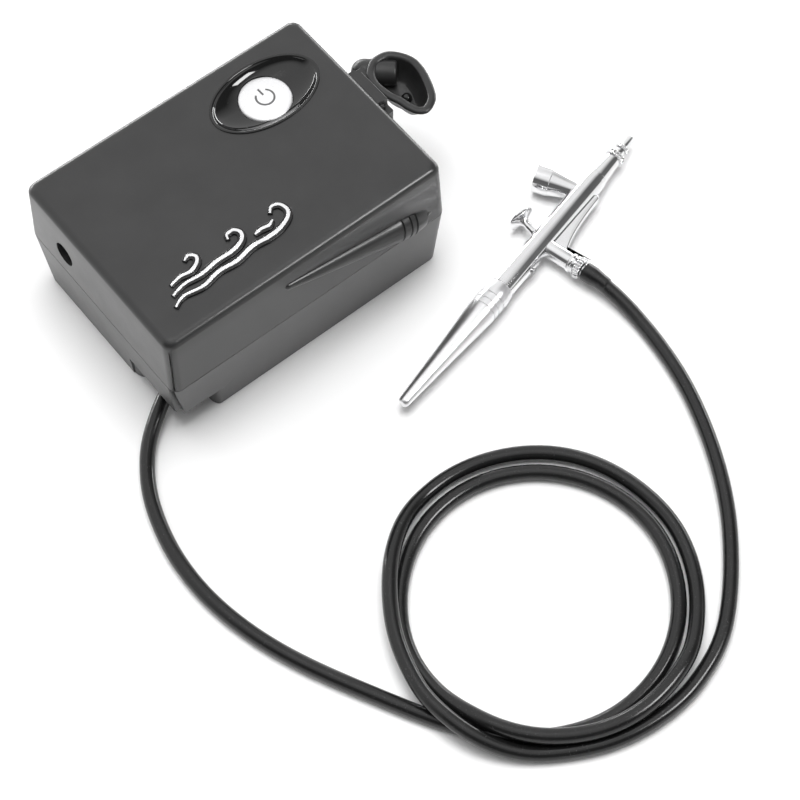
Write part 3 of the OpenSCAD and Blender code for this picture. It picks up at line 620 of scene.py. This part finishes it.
def notch_outline(grow, flare):
    """Plan of the space cut from the base's corner, with the ends of the deep part rounded outwards."""
    x, y = NOTCH_X + grow, NOTCH_Y + grow
    inner = [(x, y - 2.5), (x - 0.7, y - 0.7), (x - 2.5, y)]
    if not flare:
        return inner + [(-80, y), (-80, -60), (x, -60)]
    quarter = [rad(a) for a in range(0, 91, 10)]
    left = [(-56.5 - 6 * math.sin(a), y + 6 - 6 * math.cos(a)) for a in quarter]
    right = [(x + 5 - 5 * math.cos(a), -40.5 - 5.5 * math.sin(a)) for a in reversed(quarter)]
    return inner + left + [(-80, y + 6), (-80, -60), (x + 5, -60)] + right


keep_notch = prism("cutter", notch_outline(WALL, False), -2, NOTCH_Z + WALL)
cut(hollow, keep_notch)
notch = prism("cutter", notch_outline(0.0, True), -2, NOTCH_Z, 0.8)
slot_cutter = box("cutter", (-68, -45.6, 11), (-61, -43.0, SEAM - 0.6))
recess = box("cutter", (-58, -41, -1), (58, 41, 1.0))
rim_keep = box("cutter", (-90, -80, -3), (NOTCH_X + 4, NOTCH_Y + 4, 3))
cut(recess, rim_keep)
gland_hole = lathe("cutter", [(-50, 4.0), (-40, 4.0)], Matrix.Translation((0, -28, 6.5)), 48)
cut(base, hollow, notch, slot_cutter, recess, gland_hole)
for x, y, z in CASE_SCREWS:
    cut(base, lathe("cutter", [(z - 3, 3.2), (z + 2.5, 3.2), (z + 2.5, 1.6), (z + 9, 1.6)],
                    upright(x, y), 40))
finish_piece(base, M["base"], "case", ("base_tray",))

# ---------------------------------------------------------------- relief on the long wall

RELIEF_TIP = Vector((-10.0, -45.4, 51.3))
RELIEF_RING = Vector((44.0, -43.4, 39.0))
relief_dir = (RELIEF_RING - RELIEF_TIP).normalized()
reach = (RELIEF_RING - RELIEF_TIP).length
profile = [(-1.7 + 1.7 * (1 - math.cos(rad(a))), 1.7 * math.sin(rad(a))) for a in range(0, 91, 15)]
profile += [(reach * t, 1.7 + 5.1 * t ** 0.92) for t in (0.15, 0.3, 0.45, 0.6, 0.75, 0.88)]
for back, r in ((-2.5, 6.75), (1.2, 6.9), (4.0, 6.85)):
    groove_at = reach + back
    profile += [(groove_at - 0.6, r), (groove_at - 0.35, r - 0.55), (groove_at + 0.1, r - 0.6), (groove_at + 0.45, r)]
profile += [(reach + 9.2, 6.2), (reach + 10.0, 5.9), (reach + 10.2, 5.5), (reach + 10.2, 0)]
relief = lathe("wall_relief", profile, along(RELIEF_TIP, relief_dir), 96)
stub_at = RELIEF_TIP + relief_dir * (reach + 9.5) + Vector((0, -0.9, 1.2))
stub = lathe("wall_relief_stub", [
    (0, 3.4), (1.4, 3.4), (1.6, 3.0), (2.2, 3.0), (2.4, 3.3), (5.2, 3.1), (6.4, 2.6), (7.0, 1.6), (7.2, 0),
], along(stub_at, relief_dir + Vector((0, 0.05, 0.12))), 64)
for piece in (relief, stub):
    cut(piece, box("cutter", (-40, -60, 0), (90, -20, SEAM + 0.25)), box("cutter", (-40, -44.6, 20), (90, -10, 70)))
    finish_piece(piece, M["cover"])

# ---------------------------------------------------------------- bowl and button


def oval(a, b, z, n=128):
    turns = [2 * math.pi * k / n for k in range(n)]
    return [BOWL + Vector((a * math.cos(t), b * math.sin(t), z)) for t in turns]


def bowl_height(p):
    """Height of the bowl's hollow at a point measured from its middle."""
    inside = 1 - (p.x / 22.9) ** 2 - (p.y / 13.9) ** 2
    return 63.3 - 6.2 * math.sqrt(max(inside, 0.03))


bowl_rings = [
    oval(23.9, 14.9, 61.95), oval(24, 15, 62.3), oval(23.85, 14.85, 62.52),
    oval(23.5, 14.5, 62.6), oval(23.1, 14.1, 62.55), oval(22.8, 13.8, 62.35),
]
lip, hole = oval(22.55, 13.55, 0), oval(10.8, 10.8, 0)
for k in range(25):
    row = [p.lerp(q, k / 24) - BOWL for p, q in zip(lip, hole)]
    bowl_rings.append([BOWL + Vector((p.x, p.y, bowl_height(p))) for p in row])
bowl_rings += [
    [p + Vector((0, 0, bowl_height(p - BOWL) - 0.35)) for p in oval(10.72, 10.72, 0)], oval(10.8, 10.8, 51.5),
    oval(12.3, 12.3, 51.5), oval(12.3, 12.3, 56), oval(23.2, 14.2, 59), oval(23.3, 14.3, 61.9),
]
bowl = mesh_object("oval_bowl", *loft(bowl_rings, closed=True), 40.0)
finish_piece(bowl, M["gloss"], "case", ("bowl_bezel",))
for i, (sx, sy) in enumerate([(1, 1), (-1, 1), (-1, -1), (1, -1)]):
    leg = lathe(f"bowl_leg_{i}", [(38.6, 0), (38.6, 1.8), (59.2, 1.8), (59.2, 0)],
                upright(BOWL.x + 13.5 * sx, BOWL.y + 8.5 * sy), 32)
    finish_piece(leg, M["socket"])

UPRIGHT_BOWL = upright(BOWL.x, BOWL.y)
BUTTON_R = 10.5


def dome(r):
    """Height of the button's face."""
    return 58.75 + 1.05 * (1 - (r / BUTTON_R) ** 2)


button_profile = [
    (51.2, 0), (51.2, 2.2), (56.4, 2.2), (56.4, 9.1), (53.4, 9.1), (53.4, 10.5), (58.1, 10.5), (58.45, 10.42),
    (58.68, 10.2),
]
button_profile += [(dome(r), r) for r in (9.8, 9, 8, 6.5, 5, 3.5, 2, 1)]
button_profile += [(dome(0), 0)]
button = lathe("power_cap", button_profile, UPRIGHT_BOWL, 128)
finish_piece(button, M["button"], "button", ("power_button",))


def ribbon(path, half, height):
    """Thin closed ribbon along a path of (x, y) from the bowl's middle, laid on a surface of the given height."""
    rows = []
    for i, p in enumerate(path):
        a, b = path[max(i - 1, 0)], path[min(i + 1, len(path) - 1)]
        d = (Vector(b) - Vector(a)).normalized()
        side = Vector((-d.y, d.x))
        rows.append((Vector(p) + side * half, Vector(p) - side * half))
    verts, faces = [], []
    for left, right in rows:
        for q in (left, right):
            verts.append(BOWL + Vector((q.x, q.y, height(q.length) + 0.02)))
        for q in (right, left):
            verts.append(BOWL + Vector((q.x, q.y, height(q.length) - 0.15)))
    for i in range(len(rows) - 1):
        a, b = 4 * i, 4 * i + 4
        for k in range(4):
            faces.append((a + k, a + (k + 1) % 4, b + (k + 1) % 4, b + k))
    faces.append((0, 1, 2, 3))
    last = 4 * (len(rows) - 1)
    faces.append((last + 3, last + 2, last + 1, last))
    return verts, faces


arc = [Vector((3.6 * math.sin(rad(a)), 3.6 * math.cos(rad(a)))) for a in range(38, 323, 6)]
mark = mesh_object("power_mark_ring", *ribbon(arc, 0.4, dome))
finish_piece(mark, M["mark"], "button")
bar = [Vector((0, y)) for y in (1.2, 2.1, 3.0, 3.9, 4.8)]
mark = mesh_object("power_mark_bar", *ribbon(bar, 0.4, dome))
finish_piece(mark, M["mark"], "button")

# ---------------------------------------------------------------- badge: streams of air


def stream(name, path, half, low, high, edge, steps=8):
    """Raised ribbon along a path, pointed at both ends, with its top edges rounded."""
    pts = catmull([(x, y, 0) for x, y in path], steps)
    n = len(pts) - 1
    section = [(-1.0, low, 0.0), (-1.0, high - edge, 0.0)]
    for a in (30, 60, 90):
        section.append((-1.0, high - edge + edge * math.sin(rad(a)), edge * (1 - math.cos(rad(a)))))
    section += [(1.0, z, pull) for side, z, pull in reversed(section)]
    bands = []
    for i, p in enumerate(pts):
        d = (pts[min(i + 1, n)] - pts[max(i - 1, 0)]).normalized()
        side = Vector((-d.y, d.x, 0))
        w = half * (0.35 + 0.65 * math.sin(math.pi * min(max(i / n, 0.04), 0.96)) ** 0.6)
        bands.append([p + side * (sign * max(w - pull, 0.05)) + Vector((0, 0, z)) for sign, z, pull in section])
    return mesh_object(name, *loft(bands), 50.0)


STREAMS = [
    ([(-51, -33.5), (-46, -31.5), (-38, -32.5), (-30, -31), (-22, -31.5), (-14, -30), (-7, -30.5), (-1, -30),
      (4, -28), (6, -25), (5, -21.5), (2, -20.5), (0, -22.5)], 0.75),
    ([(-49, -29), (-43, -27.5), (-36, -28), (-28, -27), (-21, -27), (-15.5, -25.5), (-13.5, -22.5), (-15, -20),
      (-18, -20), (-19, -22)], 0.7),
    ([(-47, -25), (-42.5, -24), (-38, -24.5), (-34, -23), (-32.5, -20.5), (-34.5, -18.5), (-37, -19.5)], 0.65),
    ([(-10, -26.5), (-7, -26), (-3.5, -26.5), (-1, -25.5)], 0.6),
]
for i, (path, half) in enumerate(STREAMS):
    field = stream(f"badge_field_{i}", path, half + 1.1, CASE_H - 0.1, CASE_H + 0.85 - 0.02 * i, 0.25)
    finish_piece(field, M["plate"], "case", ("badge_plate",) if i == 0 else ())
    stroke = stream(f"badge_stroke_{i}", path, half, CASE_H + 0.6, CASE_H + 1.35, 0.12)
    finish_piece(stroke, M["badge"], "case", ("badge_trim",) if i == 0 else ())

# ---------------------------------------------------------------- holder

HOLDER_RIM = [
    (86, 16), (81, 17), (77, 16), (73, 12.5), (71, 7.5), (71, 2.5), (72, -2.5), (73.5, -6.5), (74.5, -11),
    (76.5, -15), (80, -17), (84.5, -15.5), (88, -12), (91, -5), (92.5, 1), (92.5, 6.5), (90, 12),
]
rim = catmull([(x, y, 0) for x, y in HOLDER_RIM], 8, closed=True)
rim_mid = sum(rim, Vector()) / len(rim)


def cup_ring(inset, z, squeeze=0.0):
    """The cup's outline, moved in by the inset along its own normals and drawn towards its middle."""
    out = []
    n = len(rim)
    for i, p in enumerate(rim):
        d = (rim[(i + 1) % n] - rim[i - 1]).normalized()
        normal = Vector((d.y, -d.x, 0))
        if normal.dot(p - rim_mid) < 0:
            normal = -normal
        q = (p - normal * inset).lerp(rim_mid, squeeze)
        out.append(Vector((q.x, q.y, z)))
    return out


cup_rings = [cup_ring(2.6, 40.4, 0.42), cup_ring(2.6, 41, 0.36), cup_ring(2.4, 43.5, 0.24), cup_ring(1.9, 46.5, 0.12)]
cup_rings += [cup_ring(1.1, 49, 0.04), cup_ring(0.35, 50.3)]
cup_rings += [cup_ring(1.7 - 1.7 * math.cos(rad(a)), 51.0 + 1.2 * math.sin(rad(a))) for a in range(0, 181, 15)]
cup_rings += [cup_ring(3.5, 50.2, 0.01), cup_ring(3.6, 48, 0.06), cup_ring(3.6, 45.5, 0.15), cup_ring(3.7, 43, 0.3)]
cup_rings.append(cup_ring(3.8, 42.2, 0.42))
holder = mesh_object("holder_shell", *loft(cup_rings), 60.0)
BOSS_FROM, BOSS_TO, BOSS_R = Vector((75.2, 16.8, 46.2)), Vector((85.1, 8.3, 46.2)), 5.2
BOSS = along(BOSS_FROM, BOSS_TO - BOSS_FROM)
boss_length = (BOSS_TO - BOSS_FROM).length
boss_profile = [(-BOSS_R * math.cos(rad(a)), BOSS_R * math.sin(rad(a))) for a in range(0, 90, 8)]
boss_profile += [
    (0, BOSS_R), (boss_length - 1.1, BOSS_R), (boss_length - 0.6, BOSS_R - 0.15),
    (boss_length - 0.2, BOSS_R - 0.6), (boss_length, BOSS_R - 1.3), (boss_length, 0),
]
boss = lathe("holder_arm", boss_profile, BOSS, 96)
cut(holder, lathe("cutter", [(-2, 0), (-2, BOSS_R + 0.02), (boss_length - 1, BOSS_R + 0.02), (boss_length - 1, 0)],
                  BOSS, 96))
finish_piece(holder, M["holder"], "holder", ("holder_cup",))
finish_piece(boss, M["holder"], "holder", ("holder_boss",))
stud = lathe("holder_stud", [(0, 2.3), (1.2, 2.2), (2.2, 1.7), (2.8, 0.9), (3.0, 0)],
             upright(81.9, -1.6, 41.8), 48)
finish_piece(stud, M["gloss"], "holder")
bracket = box("holder_bracket_body", (65.2, -8, 40), (70.4, 16.5, 55.5), 0.7)
lug = box("cutter", (69, 9, 41.5), (73.8, 16.5, 51), 0.4)
cut(bracket, lug, operation="UNION")
cut(bracket, box("cutter", (64, -2.4, 30), (66.9, 8.4, 53.5)), box("cutter", (66.3, -5.4, 30), (68.5, 11.4, 53.5)),
    box("cutter", (60, -20, 51), (80, -4, 60), 0.3), box("cutter", (60, 11.8, 52), (80, 20, 60), 0.3),
    lathe("cutter", [(-BOSS_R, 0), (-1, BOSS_R - 0.1), (0, BOSS_R), (boss_length, BOSS_R), (boss_length, 0)],
          BOSS, 96))
finish_piece(bracket, M["holder"], "holder", ("holder_bracket",))

# ---------------------------------------------------------------- airbrush

TUBE_R = 5.0
tube = lathe("airbrush_tube", [
    (46, 1.1), (46, 3.9), (64.8, 3.9), (64.8, 4.75), (65.1, TUBE_R), (128.2, TUBE_R), (129.3, 4.72),
    (130.7, 4.6), (131, 4.3), (131, 1.1),
], BRUSH, 128)
deck = box("cutter", (88, 3.75, -7), (102, 9, 7), 0.0, BRUSH)
deck2 = box("cutter", (102, 4.2, -7), (114.2, 9, 7), 0.0, BRUSH)
slot_cut = box("cutter", (89.2, -2.8, -1.6), (97.6, 9, 1.6), 0.7, BRUSH)
cut(tube, deck, deck2, slot_cut)
finish_piece(tube, M["chrome"], "case", ("airbrush_body",))

GRIP_R, GROOVE_D = 5.9, 0.42
GROOVE_R = GRIP_R - GROOVE_D
handle = lathe("airbrush_grip", [
    (0, 0), (0.0, 1.3), (0.15, 1.75), (0.6, 2.12), (1.6, 2.35), (14, 3.2), (28, 4.12), (40, 5.05), (46, 5.55),
    (50, 5.82), (51.6, GRIP_R), (51.75, GROOVE_R), (52.35, GROOVE_R), (52.5, GRIP_R), (54.5, GRIP_R),
    (54.65, GROOVE_R), (55.25, GROOVE_R), (55.4, GRIP_R), (57.6, GRIP_R), (57.75, GROOVE_R), (58.35, GROOVE_R),
    (58.5, GRIP_R), (60.6, GRIP_R), (61.4, 5.84), (63.9, 5.45), (64.6, 5.3), (64.8, 5.1), (64.8, 3.9),
    (46, 3.9), (44, 1.6), (25, 1.6), (25, 0),
], BRUSH, 128, angle=28.0)
finish_piece(handle, M["satin"], "case", ("airbrush_handle",))

cap = lathe("nozzle_shroud", [
    (131, 1.3), (131, 3.9), (131.25, 4.15), (132, 4.12), (141.6, 3.4), (141.9, 3.1), (142.2, 3.1), (144.9, 2.9),
    (145, 2.6), (147.5, 2.3), (147.5, 1.3),
], BRUSH, 96)
finish_piece(cap, M["chrome"], "case", ("nozzle_cap",))
crown = lathe("nozzle_crown", [(142, 2.6), (142, 3.9), (142.35, 4.3), (144.4, 4.3), (144.75, 3.9), (144.75, 2.6)],
              BRUSH, 144, knurl(18, 0.13), closed=True)
finish_piece(crown, M["chrome"])
tip_cap = lathe("needle_shroud", [
    (149.1, 1.1), (149.1, 2.1), (149.6, 1.95), (155.2, 1.78), (155.45, 1.6), (155.45, 1.1),
], BRUSH, 72, closed=True)
finish_piece(tip_cap, M["chrome"], "case", ("needle_cap",))
tip_crown = lathe("needle_crown", [
    (147.6, 1.1), (147.6, 2.8), (147.9, 3.15), (149.1, 3.15), (149.4, 2.8), (149.4, 1.1),
], BRUSH, 128, knurl(16, 0.14), closed=True)
finish_piece(tip_crown, M["chrome"])

CUP = BRUSH @ Matrix.Translation((121.3, 0, 0)) @ Matrix.Rotation(rad(90 + 14.5), 4, "Z")
cup = lathe("paint_bowl", [
    (2.5, 0), (2.5, 3.75), (4.5, 3.95), (9, 4.85), (13.2, 5.72), (13.7, 5.8), (13.9, 6.1), (14.2, 6.15),
    (18.6, 6.15), (19.3, 6.2), (20.2, 6.2), (20.35, 6.05), (20.2, 5.75), (19.5, 5.6), (14, 5.45), (13.6, 5.3),
    (8, 2.0), (6.6, 1.1), (6.2, 0.8), (5.2, 0.8), (5.2, 0),
], CUP, 112)
finish_piece(cup, M["chrome"], "case", ("paint_cup",))

valve = lathe("valve_barrel", [
    (0, 1.6), (0, 3.3), (0.3, 3.5), (1.0, 3.6), (1.3, 4.0), (1.6, 4.1), (2.4, 4.1), (2.7, 3.95), (2.9, 3.45),
    (3.3, 3.45), (3.6, 3.55), (13.4, 3.55), (13.4, 1.6),
], on_valve(-17.2), 96)
finish_piece(valve, M["chrome"], "case", ("valve_body",))
nut = lathe("hose_nut_ring", [
    (0, 2.6), (0, 3.3), (0.15, 4.0), (0.5, 4.45), (1.1, 4.6), (2.4, 4.6), (2.9, 4.3), (3.2, 3.9), (3.2, 2.6),
], on_valve(-20.6), 160, knurl(20, 0.11), closed=True)
finish_piece(nut, M["chrome"], "nut", ("hose_nut",))
barb = lathe("hose_barb_stem", [
    (0, 1.0), (0, 2.1), (1.8, 2.2), (2, 2.45), (3.2, 2.8), (3.3, 2.3), (3.8, 2.5), (6.8, 2.5), (6.8, 1.0),
], on_valve(-24), 64, closed=True)
finish_piece(barb, M["chrome"], "case", ("hose_barb",))

# Finger rest: a curved fin from the valve to the front of the tube
fin = [
    (94.0, -3.8), (108, -4.2), (119.5, -4.5), (121.8, -4.3), (122.8, -4.7), (123.2, -5.5), (122.9, -6.3),
    (122.0, -6.8),
]
fin += [(122 - 28.3 * math.sin(rad(a)), -6.8 - 5.4 * (1 - math.cos(rad(a))) ** 0.9) for a in range(8, 83, 6)]
fin += [(94.3, -12.0), (94.0, -10)]
rest = prism("finger_fin", fin, -1.6, 1.6, 0.5, BRUSH)
finish_piece(rest, M["chrome"], "case", ("finger_rest",))

PIVOT = BRUSH @ Matrix.Translation((93, 2, 0)) @ Matrix.Rotation(rad(90 - 16), 4, "Z")
lever = lathe("trigger_pad", [
    (3.15, 0), (3.15, 1.2), (3.35, 1.4), (5.5, 1.3), (8.2, 1.45), (9.2, 2.0), (9.8, 3.2), (10.3, 4.7),
    (10.7, 5.6), (11.1, 5.9), (11.55, 5.88), (11.8, 5.6), (11.6, 5.0), (11.2, 4.0), (10.95, 2.6), (10.85, 1.2),
    (10.83, 0),
], PIVOT, 96)
finish_piece(lever, M["chrome"], "trigger_pad", ("trigger",))
HUB = PIVOT @ Matrix.Translation((1.75, 0, 0)) @ Matrix.Rotation(rad(-90), 4, "Y")
hub = lathe("trigger_hub", [
    (-1.3, 0), (-1.3, 0.4), (-0.6, 0.4), (-0.6, 0.95), (0.6, 0.95), (0.6, 0.4), (1.3, 0.4), (1.3, 0),
], HUB, 40)
cut(hub, box("cutter", (1.75, -0.7, -0.6), (3.3, 0.7, 0.6), 0.0, PIVOT), operation="UNION")
finish_piece(hub, M["steel"], "trigger_pad")

screw = lathe("adjusting_screw", [
    (0, 0), (0, 0.5), (0.35, 0.5), (0.35, 0.75), (0, 0.85), (0.1, 1.2), (2.5, 1.2), (2.5, 0),
], BRUSH @ Matrix.Translation((79, -5.85, 0)) @ Matrix.Rotation(rad(90), 4, "Z"), 32)
finish_piece(screw, M["steel"], "case", ("set_screw",))

# ---------------------------------------------------------------- springs


def coil_spring(name, place, length, radius, wire, turns, node):
    """Helix of round wire along local X, its end at the local origin."""
    count, around = int(turns * 20), 8
    rise = (length - 2 * wire) / (2 * math.pi * turns)
    bands = []
    for i in range(count + 1):
        a = 2 * math.pi * turns * i / count
        out = Vector((0, math.cos(a), math.sin(a)))
        ahead = Vector((rise, -radius * math.sin(a), radius * math.cos(a))).normalized()
        side = ahead.cross(out)
        middle = Vector((wire + rise * a, radius * math.cos(a), radius * math.sin(a)))
        bands.append([place @ (middle + (out * math.cos(2 * math.pi * k / around)
                                         + side * math.sin(2 * math.pi * k / around)) * wire) for k in range(around)])
    coil = mesh_object(name, *loft(bands), 60.0)
    finish_piece(coil, M["spring"], "case", (node,))
    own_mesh(coil)


coil_spring("button_coil", upright(BOWL.x, BOWL.y, 49.0),
            7.35, 4.0, 0.36, 4, "button_spring")
coil_spring("valve_coil", on_valve(-16), 5.85, 1.15, 0.22, 6, "valve_spring")
coil_spring("needle_coil", BRUSH @ Matrix.Translation((56, 0, 0)),
            20.0, 2.2, 0.35, 12, "needle_spring")

# ---------------------------------------------------------------- floor and light

floor_nodes = Nodes("floor_white")
floor_nodes.set("Base Color", (0.93, 0.93, 0.93, 1.0))
floor_nodes.join(floor_nodes.spread(floor_nodes.noise(6.0), 0.30, 0.36), floor_nodes.shader.inputs["Roughness"])
floor_nodes.set("Specular IOR Level", 0.4)
floor_mesh = bpy.data.meshes.new("floor")
floor_mesh.from_pydata([(-4, -4, 0), (4, -4, 0), (4, 4, 0), (-4, 4, 0)], [], [(0, 1, 2, 3)])
floor = link(bpy.data.objects.new("floor", floor_mesh))
floor.data.materials.append(floor_nodes.material)


def area_light(name, at, aim, size, power, glossy=True, diffuse=True):
    light = bpy.data.lights.new(name, "AREA")
    light.shape = "RECTANGLE"
    light.size, light.size_y = size
    light.energy = power
    obj = link(bpy.data.objects.new(name, light))
    obj.location = Vector(at)
    obj.rotation_euler = (Vector(aim) - Vector(at)).to_track_quat("-Z", "Y").to_euler()
    obj.visible_glossy = glossy
    obj.visible_diffuse = diffuse


area_light("overhead", (0.12, 0.08, 1.6), (0.08, 0.0, 0), (1.1, 0.9), 20.0, glossy=False)
area_light("overhead_core", (0.12, 0.08, 1.6), (0.08, 0.0, 0), (0.26, 0.26), 3.5, diffuse=False)
area_light("window", (0.52, -0.80, 0.92), (0.03, 0.02, 0.06), (0.46, 0.34), 7.0, diffuse=False)
area_light("back_strip", (0.2, 1.7, 0.2), (0.0, 0.0, 0.05), (1.8, 0.2), 16.0, diffuse=False)
area_light("side_strip", (1.8, 0.4, 0.2), (0.0, 0.0, 0.05), (1.4, 0.2), 9.0, diffuse=False)

# The studio: pale behind and at the horizon, darker above the front and the sides
world = bpy.data.worlds.new("studio")
world.use_nodes = True
tree = world.node_tree


def world_node(kind, **inputs):
    node = tree.nodes.new(kind)
    for key, value in inputs.items():
        node.inputs[key.replace("_", " ")].default_value = value
    return node


direction = world_node("ShaderNodeTexCoord").outputs["Generated"]
axes = world_node("ShaderNodeSeparateXYZ")
tree.links.new(direction, axes.inputs["Vector"])
by_height = tree.nodes.new("ShaderNodeValToRGB")
stops = [(0.0, 1.0), (0.1, 1.0), (0.22, 0.14), (0.72, 0.12), (0.92, 0.95), (1.0, 1.0)]
while len(by_height.color_ramp.elements) < len(stops):
    by_height.color_ramp.elements.new(0.5)
for element, (position, value) in zip(by_height.color_ramp.elements, stops):
    element.position = position
    element.color = (value, value, value, 1.0)
tree.links.new(axes.outputs["Z"], by_height.inputs["Fac"])
back = world_node("ShaderNodeMapRange", From_Min=0.0, From_Max=0.4, To_Min=0.0, To_Max=1.0)
tree.links.new(axes.outputs["Y"], back.inputs["Value"])
blend = tree.nodes.new("ShaderNodeMix")
blend.data_type = "RGBA"
tree.links.new(back.outputs["Result"], blend.inputs["Factor"])
sockets = [k for k in blend.inputs if k.type == "RGBA"]
tree.links.new(by_height.outputs["Color"], sockets[0])
sockets[1].default_value = (0.95, 0.95, 0.95, 1.0)
out_colour = [k for k in blend.outputs if k.type == "RGBA"][0]
background = tree.nodes["Background"]
tree.links.new(out_colour, background.inputs["Color"])
background.inputs["Strength"].default_value = 1.0
bpy.context.scene.world = world
bpy.context.scene.view_settings.view_transform = "Standard"
